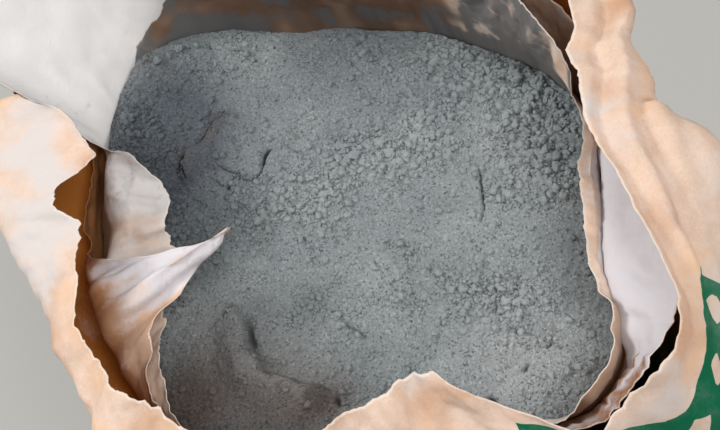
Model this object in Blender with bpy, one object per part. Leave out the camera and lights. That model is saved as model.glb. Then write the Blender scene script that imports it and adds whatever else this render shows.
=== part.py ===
"""Open 50 kg sack of cement, standing upright: three torn paper plies round a fill of powder.

Metres, +Z up. The origin is the middle of the underside, where the sack stands.
The wide faces look along -Y (front) and +Y (back).
"""

import math

import bmesh
import bpy

# Sack paper
TUBE_WIDTH = 0.500  # the empty tube laid flat, so the sack's girth is twice this
PLY_THICKNESS = 0.0010
PLY_CLEARANCE = 0.0003
PLY_PITCH = PLY_THICKNESS + PLY_CLEARANCE
ROUND_RADIUS = TUBE_WIDTH / math.pi

# Block bottom, pressed out to a rounded rectangle by the load
BOTTOM_HALF_WIDTH = 0.175
BOTTOM_CORNER = 0.020
BOTTOM_EDGE = 0.008

# Belly, half way up
BELLY_Z = 0.270
BELLY_HALF_WIDTH = 0.164
BELLY_CORNER = 0.085

# Level at which the powder stops holding the plies together
NECK_Z = 0.490
BODY_SHARES = (0.22, 0.41, 0.59, 0.755, 0.89, 1.0)

# Front right corner, where the outer ply stands off the others like a pouch
POUCH_FOOT_Z = 0.360
POUCH_REACH = 0.034
POUCH_ANGLE = 308
POUCH_SPREAD = 23

# Paper left standing above the powder
COLLAR_LENGTH = 0.100

# Powder
FILL_DROP = 0.002
FILL_RINGS = (0.93, 0.84, 0.75, 0.66, 0.57, 0.48, 0.38, 0.27, 0.14)
HEAP_RISE = 0.010
LEDGE_FACE = 0.0025
LEDGE_TAPER = 2.2  # the larger, the sooner a ledge is at its full rise

PERCENT = 0.01

# Outside of the sack at the neck: angle in degrees from +X, radius in percent of ROUND_RADIUS
NECK = (
    (0, 88.6), (12, 84.8), (25, 80.4), (38, 78.5), (50, 77.3), (62, 77.9), (75, 79.8), (88, 83.6),
    (100, 93), (110, 102), (122, 110.5), (131, 107), (140, 102), (150, 99.5), (160, 98),
    (171, 97.5), (186, 96.1), (197, 96.8), (207, 99.3), (216, 102.4), (225, 104.3), (235, 103),
    (245, 98.6), (255, 94.9), (270, 93), (285, 98), (294, 105.6), (302, 110.6), (309, 110.6),
    (316, 105.6), (322, 99.3), (335, 91.7), (349, 89.2),
)

# Collars: angle, then how far the bend lies outside the neck and above it, then the same for
# the torn edge, all in percent of COLLAR_LENGTH
OUTER_COLLAR = (
    (0, 40, 58, -4, 76), (6, 42, 58, 7, 73), (14, 48, 58, 20, 78), (24, 44, 63, 24, 85),
    (36, 36, 65, 23, 92), (48, 30, 63, 19, 100), (60, 24, 63, 17, 102), (72, 23, 61, 17, 96),
    (84, 23, 60, 19, 104), (96, 22, 58, 23, 100), (104, 14, 46, 26, 98), (108, 14, 40, 31, 94),
    (113, 13, 27, 42, 81), (117, 15, 16, 47, 61), (122, 11, 8, 55, 50), (128, 8, 5, 59, 44),
    (136, 7, 5, 62, 42), (140, 13, 4, 50, 41), (141, 17, 14, 43, 45), (142, 21, 24, 38, 55),
    (143, 38, 40, 26, 66), (144, 52, 48, 2, 74), (145, 60, 51, -11, 77), (146, 65, 53, -17, 77),
    (149, 67, 54, -25, 77), (153, 65, 55, -31, 78), (157, 61, 57, -38, 78), (161, 54, 58, -30, 77),
    (164, 45, 59, -18, 77), (168, 36, 59, -18, 78), (173, 28, 61, -28, 77), (178, 20, 62, -29, 77),
    (184, 15, 62, -24, 77), (190, 13, 62, -18, 77), (196, 12, 62, -11, 76), (205, 14, 60, -13, 77),
    (211, 17, 60, -13, 78), (216, 18, 60, -19, 80), (222, 18, 60, -24, 82), (230, 17, 59, -19, 80),
    (238, 15, 57, -16, 76), (246, 15, 55, -15, 72), (254, 15, 54, -14, 74), (262, 13, 54, -17, 77),
    (270, 14, 56, -19, 80), (274, 14, 57, -22, 84), (278, 15, 58, -22, 87), (282, 18, 59, -21, 86),
    (286, 24, 55, -6, 80), (290, 30, 50, 4, 74), (295, 39, 38, 24, 70), (300, 50, 24, 21, 73),
    (305, 57, 18, 21, 76), (310, 55, 18, 24, 78), (315, 52, 25, 22, 81), (320, 53, 36, 17, 83),
    (326, 58, 46, 8, 84), (332, 61, 52, 3, 84), (338, 63, 56, -4, 82), (343, 54, 59, -7, 81),
    (348, 44, 59, -6, 80), (353, 42, 59, -6, 78),
)
MIDDLE_COLLAR = (
    (0, 5, 25, 11, 46), (14, 8, 28, 14, 50), (24, 7, 36, 12, 62), (36, 7, 41, 11, 72),
    (48, 6, 41, 10, 76), (60, 6, 40, 9, 78), (72, 6, 41, 9, 72), (84, 7, 41, 11, 74),
    (96, 8, 42, 13, 71), (104, 8, 44, 18, 70), (108, 7, 42, 17, 70), (113, 8, 28, 22, 50),
    (117, 6, 22, 32, 54), (122, 2, 9, 47, 51), (128, 2, 7, 55, 48), (136, 1, 7, 55, 46),
    (139, 1, 4, 38, 34), (140, 1, 5, 28, 25), (142, -1, 8, 9, 19), (145, 0, 10, 5, 18),
    (148, -3, 12, -5, 22), (151, -5, 14, -8, 26), (156, -6, 14, -9, 27), (162, -6, 14, -9, 27),
    (168, -5, 15, -9, 28), (173, -5, 20, -11, 33), (176, -6, 27, -17, 40), (178, -7, 34, -25, 46),
    (180, -9, 38, -35, 48), (182, -11, 43, -47, 50), (184, -12, 48, -62, 48),
    (186, -13, 50, -75, 48), (188, -13, 52, -87, 48), (190, -12, 53, -97, 53),
    (191, -12, 53, -101, 58), (193, -12, 52, -92, 52), (195, -11, 49, -75, 47),
    (196, -11, 47, -67, 47), (198, -11, 43, -57, 49), (200, -10, 40, -50, 50),
    (202, -10, 37, -43, 50), (207, -9, 31, -29, 49), (213, -7, 27, -20, 46),
    (216, -7, 25, -18, 44), (230, -8, 23, -14, 40), (246, -7, 23, -10, 38), (262, -7, 23, -10, 38),
    (276, -3, 25, -3, 41), (286, 3, 27, 8, 42), (292, 4, 29, 14, 45), (298, 6, 29, 20, 55),
    (302, 4, 28, 17, 58), (305, 2, 28, 18, 62), (309, 1, 28, 17, 63), (313, -6, 32, 22, 62),
    (320, -11, 38, 29, 62), (328, -8, 38, 32, 61), (338, -3, 39, 28, 58), (349, 0, 37, 18, 50),
)
INNER_COLLAR = (
    (0, -7, 29, -6, 50), (10, -7, 32, -3, 62), (18, -6, 34, -2, 70), (30, -5, 37, -1, 80),
    (45, -6, 39, -1, 88), (60, -7, 38, -2, 92), (75, -6, 39, -1, 87), (88, -6, 38, 1, 92),
    (100, -1, 55, 8, 94), (104, 1, 53, 16, 98), (108, 4, 50, 24, 102), (113, 3, 34, 46, 98),
    (117, 1, 25, 58, 88), (122, 0, 13, 71, 79), (126, -1, 9, 75, 77), (131, -2, 9, 82, 76),
    (136, -3, 9, 86, 75), (139, -3, 9, 77, 72), (141, -3, 9, 58, 68), (142, -3, 10, 22, 51),
    (143, -3, 10, 9, 26), (145, -4, 11, 0, 20), (147, -16, 24, -34, 33), (150, -20, 31, -44, 37),
    (155, -23, 33, -53, 37), (160, -27, 33, -60, 35), (165, -33, 31, -61, 31),
    (170, -25, 25, -58, 26), (174, -18, 23, -57, 24), (178, -13, 25, -56, 22),
    (182, -13, 24, -51, 20), (186, -13, 22, -46, 18), (193, -14, 25, -41, 20),
    (198, -15, 29, -38, 26), (204, -15, 32, -32, 35), (209, -14, 31, -27, 39),
    (214, -13, 28, -22, 40), (222, -14, 23, -18, 38), (235, -13, 21, -17, 34),
    (250, -10, 21, -14, 33), (265, -12, 21, -14, 34), (278, -8, 23, -10, 36), (287, -2, 27, 3, 39),
    (294, 2, 30, 7, 42), (298, 1, 31, 1, 43), (301, 0, 32, -2, 44), (304, -1, 33, -3, 44),
    (308, -4, 33, -6, 42), (311, -6, 34, -9, 42), (314, -9, 35, -13, 42), (319, -13, 38, -20, 42),
    (326, -11, 40, -19, 43), (334, -9, 42, -16, 44), (343, -6, 42, -13, 44), (351, -4, 40, -9, 43),
)

# Stations round the sack, in degrees: closer where the plies are torn
STATIONS = (
    0, 6, 14, 22, 30, 38, 46, 54, 62, 70, 78, 86, 94, 100, 104, 108, 113, 117, 122, 126, 131,
    136, 139, 141, 142, 143, 144, 146, 149, 153, 157, 161, 164, 168, 173, 176, 179, 182, 185, 188,
    191, 193, 195, 198, 201, 205, 211, 216, 222, 230, 238, 246, 254, 262, 270, 274, 278, 282, 286,
    290, 295, 300, 305, 310, 315, 320, 326, 332, 338, 343, 349, 354,
)

# Powder surface: x, y and spread of each heap or hollow in percent of ROUND_RADIUS, and its rise
# in percent of HEAP_RISE
HEAPS = (
    (-60, -43, 26, 90), (-31, -38, 14, -40), (-10, -54, 16, -80), (5, -25, 19, -50),
    (45, 19, 25, 40), (-60, 39, 21, 40), (38, -58, 16, 60), (-12, 30, 28, 20),
    (66, -22, 15, 50), (28, 70, 34, -90), (-20, 84, 26, -60), (70, 48, 24, -60),
)

# Ledges left by the scoop: points in plan and reach in percent of ROUND_RADIUS, rise in percent
# of HEAP_RISE. The powder is high on the left of the line as it runs.
LEDGES = (
    (((-23, -63), (-25, -58), (-30, -53), (-36, -50), (-41, -46), (-46, -38), (-47, -31),
      (-46, -23), (-43, -14)), 16, 70),
    (((53, -74), (45, -67), (38, -63), (30, -63), (24, -68)), 11, 30),
    (((-55, 49), (-50, 43), (-48, 36), (-52, 29)), 9, 26),
)


def mixed(a, b, share):
    return a + (b - a) * share


def eased(share):
    share = min(max(share, 0.0), 1.0)
    return share * share * (3.0 - 2.0 * share)


def straight_between(table, angle, column):
    """Value of a periodic table, straight from one row to the next."""
    rows = list(table) + [(table[0][0] + 360.0,) + tuple(table[0][1:])]
    for low, high in zip(rows, rows[1:]):
        if low[0] <= angle <= high[0]:
            return mixed(low[column], high[column], (angle - low[0]) / (high[0] - low[0]))
    return rows[0][column]


def smooth_between(table, angle, column, span=5.0):
    """The same, softened over a few degrees."""
    total = 0.0
    weights = ((-1.0, 1.0), (-0.5, 2.0), (0.0, 3.0), (0.5, 2.0), (1.0, 1.0))
    for shift, weight in weights:
        total += weight * straight_between(table, (angle + shift * span) % 360.0, column)
    return total / sum(weight for _, weight in weights)


def half_depth(half_width, corner):
    """Half depth of a rounded rectangle that has the sack's girth."""
    girth = 2.0 * TUBE_WIDTH
    return (girth + (8.0 - 2.0 * math.pi) * corner) / 4.0 - half_width


def rounded_radius(angle, half_width, depth, corner):
    """Distance from the middle to a rounded rectangle, along an angle."""
    dx, dy = abs(math.cos(angle)), abs(math.sin(angle))
    low, high = 0.0, 2.0 * (half_width + depth)
    for _ in range(48):
        mid = 0.5 * (low + high)
        over_x = max(mid * dx - (half_width - corner), 0.0)
        over_y = max(mid * dy - (depth - corner), 0.0)
        if math.hypot(over_x, over_y) < corner:
            low = mid
        else:
            high = mid
    return low


def neck_radius(degrees):
    """Outside of the sack at the neck."""
    return smooth_between(NECK, degrees, 1) * PERCENT * ROUND_RADIUS


def body_radius(degrees, z):
    """Outside of the sack below the neck."""
    angle = math.radians(degrees)
    share = eased(z / BELLY_Z)
    half_width = mixed(BOTTOM_HALF_WIDTH, BELLY_HALF_WIDTH, share)
    corner = mixed(BOTTOM_CORNER, BELLY_CORNER, share)
    lower = rounded_radius(angle, half_width, half_depth(half_width, corner), corner)
    return mixed(lower, neck_radius(degrees), eased((z - 0.5 * BELLY_Z) / (NECK_Z - 0.5 * BELLY_Z)))


def pouch_reach(degrees, z):
    """How far the outer ply stands off the others at its loose corner."""
    apart = abs((degrees - POUCH_ANGLE + 180.0) % 360.0 - 180.0)
    rise = eased((z - POUCH_FOOT_Z) / (NECK_Z - POUCH_FOOT_Z))
    return POUCH_REACH * rise * eased(1.0 - apart / POUCH_SPREAD)


def around(degrees, radius, z):
    angle = math.radians(degrees)
    return (radius * math.cos(angle), radius * math.sin(angle), z)


def outward(rows, row, column):
    """Unit normal of a grid of points, facing away from the sack's middle at the body."""
    count = len(rows[0])
    left, right = rows[row][column - 1], rows[row][(column + 1) % count]
    below, above = rows[max(row - 1, 0)][column], rows[min(row + 1, len(rows) - 1)][column]
    a = [right[i] - left[i] for i in range(3)]
    b = [above[i] - below[i] for i in range(3)]
    n = (a[1] * b[2] - a[2] * b[1], a[2] * b[0] - a[0] * b[2], a[0] * b[1] - a[1] * b[0])
    size = math.sqrt(sum(c * c for c in n))
    return [c / size for c in n]


def shifted(rows, distance):
    """A copy of a grid moved inwards along its normals."""
    moved = []
    for r, ring in enumerate(rows):
        moved.append([])
        for c, point in enumerate(ring):
            n = outward(rows, r, c)
            moved[-1].append(tuple(point[i] - distance * n[i] for i in range(3)))
    return moved


def body_grid(loose=False):
    """Outside of the body, ring by ring, from just above the underside to the neck."""
    rings = []
    for z in [BOTTOM_EDGE] + [share * NECK_Z for share in BODY_SHARES]:
        stand_off = [pouch_reach(degrees, z) if loose else 0.0 for degrees in STATIONS]
        rings.append([around(d, body_radius(d, z) + off, z) for d, off in zip(STATIONS, stand_off)])
    return rings


# How much of the neck, the bend and the torn edge each ring of a collar takes: straight up to
# half way to the bend, round it, and straight from half way to the edge
COLLAR_RINGS = ((0.5, 0.5, 0.0), (0.125, 0.75, 0.125), (0.0, 0.5, 0.5), (0.0, 0.0, 1.0))


def collar_rings(neck_ring, collar):
    """Rings of a ply's middle surface above the neck, round its bend to its torn edge."""
    rings = []
    for of_neck, of_bend, of_edge in COLLAR_RINGS:
        ring = []
        for degrees, start in zip(STATIONS, neck_ring):
            bend_out, bend_up, edge_out, edge_up = (
                straight_between(collar, degrees, column) * PERCENT * COLLAR_LENGTH
                for column in (1, 2, 3, 4)
            )
            neck = neck_radius(degrees)
            radius = of_neck * math.hypot(start[0], start[1])
            radius += of_bend * (neck + bend_out) + of_edge * (neck + edge_out)
            height = of_neck * start[2]
            height += of_bend * (NECK_Z + bend_up) + of_edge * (NECK_Z + edge_up)
            ring.append(around(degrees, radius, height))
        rings.append(ring)
    return rings


def bottom_rings(ring, depth):
    """The two rings of the bottom edge's bevel, for a surface that lies this deep in the sack."""
    turn = math.tan(math.radians(22.5))
    low, high = [], []
    for x, y, z in ring:
        radius = math.hypot(x, y)
        share = (radius - BOTTOM_EDGE + (1.0 - turn) * depth) / radius
        low.append((x * share, y * share, depth))
        high.append((x, y, z + turn * depth))
    return [low, high]


def add_loops(bm, loops):
    return [[bm.verts.new(point) for point in loop] for loop in loops]


def bridge(bm, low, high):
    for i, _ in enumerate(low):
        j = (i + 1) % len(low)
        bm.faces.new((low[i], low[j], high[j], high[i]))


def finish(name, bm, colour, roughness):
    """Turn a mesh into one named object with a material of its own."""
    bmesh.ops.triangulate(bm, faces=bm.faces[:], quad_method="SHORT_EDGE", ngon_method="BEAUTY")
    bmesh.ops.recalc_face_normals(bm, faces=bm.faces[:])
    mesh = bpy.data.meshes.new(name)
    bm.to_mesh(mesh)
    bm.free()
    material = bpy.data.materials.new(name + "_paint")
    material.use_nodes = True
    shader = material.node_tree.nodes["Principled BSDF"]
    shader.inputs["Base Color"].default_value = colour
    shader.inputs["Roughness"].default_value = roughness
    mesh.materials.append(material)
    ob = bpy.data.objects.new(name, mesh)
    bpy.context.scene.collection.objects.link(ob)
    return ob


def ply(name, order, collar, colour):
    """One paper ply: a cup with a folded bottom and a torn collar. Order 0 is the outermost."""
    body = body_grid(loose=order == 0)
    depth = order * PLY_PITCH
    outside, inside = shifted(body, depth), shifted(body, depth + PLY_THICKNESS)
    middle = shifted(body, depth + 0.5 * PLY_THICKNESS)
    whole = middle + collar_rings(middle[-1], collar)
    out_side = outside + shifted(whole, -0.5 * PLY_THICKNESS)[len(body):]
    in_side = inside + shifted(whole, 0.5 * PLY_THICKNESS)[len(body):]
    outer_loops = bottom_rings(outside[0], depth) + out_side[1:]
    inner_loops = bottom_rings(inside[0], depth + PLY_THICKNESS) + in_side[1:]
    bm = bmesh.new()
    outer = add_loops(bm, outer_loops)
    inner = add_loops(bm, inner_loops)
    for low, high in zip(outer, outer[1:]):
        bridge(bm, low, high)
    for low, high in zip(inner, inner[1:]):
        bridge(bm, high, low)
    bridge(bm, outer[-1], inner[-1])
    bm.faces.new(tuple(reversed(outer[0])))
    bm.faces.new(tuple(inner[0]))
    return finish(name, bm, colour, 0.85)


def along_line(x, y, line):
    """Distance to a line of points, the side of it a place is on, and how far along it lies."""
    lengths = [math.dist(a, b) for a, b in zip(line, line[1:])]
    best, side, run, passed = math.inf, 0.0, 0.0, 0.0
    for a, b, length in zip(line, line[1:], lengths):
        dx, dy = (b[0] - a[0]) / length, (b[1] - a[1]) / length
        step = min(max((x - a[0]) * dx + (y - a[1]) * dy, 0.0), length)
        apart = math.hypot(x - a[0] - step * dx, y - a[1] - step * dy)
        if apart < best:
            best = apart
            side = dx * (y - a[1]) - dy * (x - a[0])
            run = (passed + step) / sum(lengths)
        passed += length
    return best, side, run


def ledge_height(x, y, points, reach, rise):
    """A step that is high on the left of its line and fades over its reach and at its ends."""
    unit = PERCENT * ROUND_RADIUS
    best, side, run = along_line(x, y, [(px * unit, py * unit) for px, py in points])
    high = eased(1.0 - best / (reach * unit))
    face = 1.0 if side > 0.0 else eased(1.0 - best / LEDGE_FACE)
    ends = eased(LEDGE_TAPER * math.sin(math.pi * run))
    return rise * PERCENT * HEAP_RISE * ends * high * face


def powder_height(x, y):
    """Height of the powder at a point in plan."""
    z = NECK_Z - FILL_DROP
    unit = PERCENT * ROUND_RADIUS
    for heap_x, heap_y, spread, rise in HEAPS:
        apart = math.hypot(x - heap_x * unit, y - heap_y * unit) / (spread * unit)
        z += rise * PERCENT * HEAP_RISE * math.exp(-apart * apart)
    for points, reach, rise in LEDGES:
        z += ledge_height(x, y, points, reach, rise)
    return z


def powder(name, colour):
    """The cement: it fills the inner ply up to a surface left by scooping."""
    depth = 3.0 * PLY_PITCH
    side = shifted(body_grid(), depth)
    loops = bottom_rings(side[0], depth) + side[1:]
    rim = side[-1]
    for share in FILL_RINGS:
        ring = [(x * share, y * share) for x, y, _ in rim]
        loops.append([(x, y, powder_height(x, y)) for x, y in ring])
    bm = bmesh.new()
    rings = add_loops(bm, loops)
    for low, high in zip(rings, rings[1:]):
        bridge(bm, low, high)
    bm.faces.new(tuple(reversed(rings[0])))
    top = bm.verts.new((0.0, 0.0, powder_height(0.0, 0.0)))
    last = rings[-1]
    for i, _ in enumerate(last):
        bm.faces.new((last[i], last[(i + 1) % len(last)], top))
    return finish(name, bm, colour, 0.95)


def clear_scene():
    for ob in list(bpy.data.objects):
        bpy.data.objects.remove(ob, do_unlink=True)


def report_girths():
    for ring in body_grid(loose=True):
        girth = sum(math.dist(a, b) for a, b in zip(ring, ring[1:] + ring[:1]))
        print("girth at %.3f m: %.3f m" % (ring[0][2], girth))


def main():
    clear_scene()
    ply("outer_ply", 0, OUTER_COLLAR, (0.62, 0.42, 0.26, 1.0))
    ply("middle_ply", 1, MIDDLE_COLLAR, (0.50, 0.30, 0.15, 1.0))
    ply("inner_ply", 2, INNER_COLLAR, (0.66, 0.60, 0.54, 1.0))
    powder("cement_fill", (0.25, 0.27, 0.26, 1.0))
    report_girths()


main()
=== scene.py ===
# %% [markdown]
# # An opened sack of cement
# A filled paper sack stands upright with its top torn open, and we look down into the powder.
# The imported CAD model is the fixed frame: it gives every piece its size and place.
# Here each paper ply and the powder get a finer mesh of their own, drawn round the same frame.

# %% Load the frame
import math
from functools import partial

import bpy
import numpy as np
from mathutils import Matrix, Vector


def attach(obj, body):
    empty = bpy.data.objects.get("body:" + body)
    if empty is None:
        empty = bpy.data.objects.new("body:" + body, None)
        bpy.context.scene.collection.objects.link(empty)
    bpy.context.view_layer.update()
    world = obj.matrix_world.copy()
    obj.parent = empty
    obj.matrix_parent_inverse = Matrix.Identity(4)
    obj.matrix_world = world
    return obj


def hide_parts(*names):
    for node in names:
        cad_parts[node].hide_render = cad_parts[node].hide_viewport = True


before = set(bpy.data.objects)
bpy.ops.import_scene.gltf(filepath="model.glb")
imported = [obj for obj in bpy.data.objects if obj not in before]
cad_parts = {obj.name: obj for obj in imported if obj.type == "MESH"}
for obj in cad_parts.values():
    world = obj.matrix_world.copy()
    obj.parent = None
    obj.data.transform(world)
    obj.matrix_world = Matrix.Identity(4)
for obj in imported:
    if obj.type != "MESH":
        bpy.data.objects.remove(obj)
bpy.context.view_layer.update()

MM = 0.001

# %% [markdown]
# ## Camera
# The picture is taken from above, leaning in over the sack, so the back rim is seen from inside
# and a corner of the outside shows at the lower right. The camera is placed by where it looks,
# how far it leans and how it is rolled, which are easier to reason about than three angles.

# %% Camera
LOOK_AT = np.array([0.004, -0.006, 0.490])
CAMERA_DISTANCE = 0.660
CAMERA_LEAN = math.radians(26.0)
CAMERA_AZIMUTH = math.radians(18.6)
CAMERA_ROLL = math.radians(38.5)
LENS_MM, SENSOR_MM = 60.0, 36.0
NEAREST_SEEN = 0.01

away = np.array([-math.sin(CAMERA_AZIMUTH), math.cos(CAMERA_AZIMUTH), 0.0])
upright = np.array([0.0, 0.0, 1.0])
gaze = away * math.sin(CAMERA_LEAN) - upright * math.cos(CAMERA_LEAN)
far_up = away * math.cos(CAMERA_LEAN) + upright * math.sin(CAMERA_LEAN)
level_right = np.cross(gaze, far_up)
view_up = far_up * math.cos(CAMERA_ROLL) + level_right * math.sin(CAMERA_ROLL)
view_right = level_right * math.cos(CAMERA_ROLL) - far_up * math.sin(CAMERA_ROLL)
eye = LOOK_AT - gaze * CAMERA_DISTANCE

lens = bpy.data.cameras.new("camera")
lens.lens = LENS_MM
lens.sensor_width = SENSOR_MM
lens.sensor_fit = "HORIZONTAL"
lens.clip_start = NEAREST_SEEN
camera = bpy.data.objects.new("camera", lens)
turn = Matrix((view_right, view_up, -gaze)).transposed().to_4x4()
camera.matrix_world = Matrix.Translation(Vector(eye)) @ turn
bpy.context.scene.collection.objects.link(camera)
bpy.context.scene.camera = camera
print("camera at", eye.round(3), "m")

# %% [markdown]
# ## Floor and light
# A plain pale floor catches the shadow. A bright soft sky lights every upward face; one broad
# lamp stands behind and to the left, so the left rim shades the powder next to it, and a
# second one hangs high in front to keep the flared corner white.

# %% Floor
FLOOR_HALF = 3.0
FLOOR_DROP = 0.0004
FLOOR_COLOUR, FLOOR_ROUGHNESS = (0.42, 0.41, 0.39, 1), 0.9

floor_mesh = bpy.data.meshes.new("floor")
floor_mesh.from_pydata(
    [(-FLOOR_HALF, -FLOOR_HALF, 0), (FLOOR_HALF, -FLOOR_HALF, 0), (FLOOR_HALF, FLOOR_HALF, 0),
     (-FLOOR_HALF, FLOOR_HALF, 0)], [], [(0, 1, 2, 3)])
floor = bpy.data.objects.new("floor", floor_mesh)
floor.location.z = -FLOOR_DROP
bpy.context.scene.collection.objects.link(floor)
floor_paint = bpy.data.materials.new("floor_paint")
floor_paint.use_nodes = True
floor_shader = floor_paint.node_tree.nodes["Principled BSDF"].inputs
floor_shader["Base Color"].default_value = FLOOR_COLOUR
floor_shader["Roughness"].default_value = FLOOR_ROUGHNESS
floor_mesh.materials.append(floor_paint)


# %% Lamps
LAMP_AIM = Vector((0.0, 0.0, 0.5))
SKY_COLOUR, SKY_STRENGTH = (0.93, 0.97, 1.0, 1), 0.50


def lamp(name, place, size, power, colour):
    """A square soft lamp that shines from its place towards the mouth of the sack."""
    light = bpy.data.lights.new(name, "AREA")
    light.size = size
    light.energy = power
    light.color = colour
    ob = bpy.data.objects.new(name, light)
    ob.location = place
    ob.rotation_euler = (LAMP_AIM - Vector(place)).to_track_quat("-Z", "Y").to_euler()
    bpy.context.scene.collection.objects.link(ob)


lamp("key", (-1.30, 0.70, 1.95), size=0.6, power=29, colour=(1.0, 0.98, 0.95))
lamp("high_front", (0.9, -0.7, 2.5), size=1.0, power=33, colour=(1.0, 0.985, 0.96))
world = bpy.data.worlds.new("sky")
world.use_nodes = True
sky = world.node_tree.nodes["Background"].inputs
sky["Color"].default_value = SKY_COLOUR
sky["Strength"].default_value = SKY_STRENGTH
bpy.context.scene.world = world
bpy.context.scene.view_settings.view_transform = "Standard"

# %% [markdown]
# ## The sack's form
# The body is a rounded rectangle that keeps the paper's girth while it swells from the block
# bottom to the belly, and it turns into the mouth's own outline at the neck. Above the neck
# the powder holds nothing, so each ply goes its own way: out to a bend, then to its torn edge.
# Tables give the bend and the edge at angles round the mouth, because a tear has no formula.

# %% Body sizes
TUBE_WIDTH = 0.500
GIRTH = 2.0 * TUBE_WIDTH
ROUND_RADIUS = TUBE_WIDTH / math.pi
PLY_PITCH = 0.0013
BOTTOM_HALF_WIDTH, BOTTOM_CORNER, BOTTOM_EDGE = 0.175, 0.020, 0.008
BELLY_HALF_WIDTH, BELLY_CORNER, BELLY_Z = 0.164, 0.085, 0.270
NECK_Z = 0.490
COLLAR_LENGTH = 0.100
POUCH_FOOT_Z, POUCH_REACH, POUCH_ANGLE, POUCH_SPREAD = 0.360, 0.034, 308.0, 23.0
PAPER = 0.0004
PERCENT = 0.01

# %% Neck outline: angle, radius in percent of ROUND_RADIUS
NECK = np.array((
    (0, 88.6), (12, 84.8), (25, 80.4), (38, 78.5), (50, 77.3), (62, 77.9), (75, 79.8), (88, 83.6),
    (100, 93), (110, 102), (122, 110.5), (131, 107), (140, 102), (150, 99.5), (160, 98),
    (171, 97.5), (186, 96.1), (197, 96.8), (207, 99.3), (216, 102.4), (225, 104.3), (235, 103),
    (245, 98.6), (255, 94.9), (270, 93), (285, 98), (294, 105.6), (302, 110.6), (309, 110.6),
    (316, 105.6), (322, 99.3), (335, 91.7), (349, 89.2),
), float)

# %% [markdown]
# Each collar row holds an angle, how far its bend lies outside and above the neck, and the same
# for its torn edge, in percent of the collar's length.

# %% Outer collar
OUTER_COLLAR = np.array((
    (0, 40, 58, -4, 76), (6, 42, 58, 7, 73), (14, 48, 58, 20, 78), (24, 44, 63, 24, 85),
    (36, 36, 65, 23, 92), (48, 30, 63, 19, 100), (60, 24, 63, 17, 102), (72, 23, 61, 17, 96),
    (84, 23, 60, 19, 104), (96, 22, 58, 23, 100), (104, 14, 46, 26, 98), (108, 14, 40, 31, 94),
    (113, 13, 27, 42, 81), (117, 15, 16, 47, 61), (122, 11, 8, 55, 50), (128, 8, 5, 59, 44),
    (136, 7, 5, 62, 42), (140, 13, 4, 50, 41), (141, 17, 14, 43, 45), (142, 21, 24, 38, 55),
    (143, 38, 40, 26, 66), (144, 52, 48, 2, 74), (145, 60, 51, -11, 77), (146, 65, 53, -17, 77),
    (149, 67, 54, -25, 77), (153, 65, 55, -31, 78), (157, 61, 57, -38, 78), (161, 54, 58, -30, 77),
    (164, 45, 59, -18, 77), (168, 36, 59, -18, 78), (173, 28, 61, -28, 77), (178, 20, 62, -29, 77),
    (184, 15, 62, -24, 77), (190, 13, 62, -18, 77), (196, 12, 62, -11, 76), (205, 14, 60, -13, 77),
    (211, 17, 60, -13, 78), (216, 18, 60, -19, 80), (222, 18, 60, -24, 82), (230, 17, 59, -19, 80),
    (238, 15, 57, -16, 76), (246, 15, 55, -15, 72), (254, 15, 54, -14, 74), (262, 13, 54, -17, 77),
    (270, 14, 56, -19, 80), (274, 14, 57, -22, 84), (278, 15, 58, -22, 87), (282, 18, 59, -21, 86),
    (286, 24, 55, -6, 80), (290, 30, 50, 4, 74), (295, 39, 38, 24, 70), (300, 50, 24, 21, 73),
    (305, 57, 18, 21, 76), (310, 55, 18, 24, 78), (315, 52, 25, 22, 81), (320, 53, 36, 17, 83),
    (326, 58, 46, 8, 84), (332, 61, 52, 3, 84), (338, 63, 56, -4, 82), (343, 54, 59, -7, 81),
    (348, 44, 59, -6, 80), (353, 42, 59, -6, 78),
), float)

# %% Middle collar
MIDDLE_COLLAR = np.array((
    (0, 5, 25, 11, 46), (14, 8, 28, 14, 50), (24, 7, 36, 12, 62), (36, 7, 41, 11, 72),
    (48, 6, 41, 10, 76), (60, 6, 40, 9, 78), (72, 6, 41, 9, 72), (84, 7, 41, 11, 74),
    (96, 8, 42, 13, 71), (104, 8, 44, 18, 70), (108, 7, 42, 17, 70), (113, 8, 28, 22, 50),
    (117, 6, 22, 32, 54), (122, 2, 9, 47, 51), (128, 2, 7, 55, 48), (136, 1, 7, 55, 46),
    (139, 1, 4, 38, 34), (140, 1, 5, 28, 25), (142, -1, 8, 9, 19), (145, 0, 10, 5, 18),
    (148, -3, 12, -5, 22), (151, -5, 14, -8, 26), (156, -6, 14, -9, 27), (162, -6, 14, -9, 27),
    (168, -5, 15, -9, 28), (173, -5, 20, -11, 33), (176, -6, 27, -17, 40), (178, -7, 34, -25, 46),
    (180, -9, 38, -35, 48), (182, -11, 43, -47, 50), (184, -12, 48, -62, 48),
    (186, -13, 50, -75, 48), (188, -13, 52, -87, 48), (190, -12, 53, -97, 53),
    (191, -12, 53, -101, 58), (193, -12, 52, -92, 52), (195, -11, 49, -75, 47),
    (196, -11, 47, -67, 47), (198, -11, 43, -57, 49), (200, -10, 40, -50, 50),
    (202, -10, 37, -43, 50), (207, -9, 31, -29, 49), (213, -7, 27, -20, 46),
    (216, -7, 25, -18, 44), (230, -8, 23, -14, 40), (246, -7, 23, -10, 38), (262, -7, 23, -10, 38),
    (276, -3, 25, -3, 41), (286, 3, 27, 8, 42), (292, 4, 29, 14, 45), (298, 6, 29, 20, 55),
    (302, 4, 28, 17, 58), (305, 2, 28, 18, 62), (309, 1, 28, 17, 63), (313, -6, 32, 22, 62),
    (320, -11, 38, 29, 62), (328, -8, 38, 32, 61), (338, -3, 39, 28, 58), (349, 0, 37, 18, 50),
), float)

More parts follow.
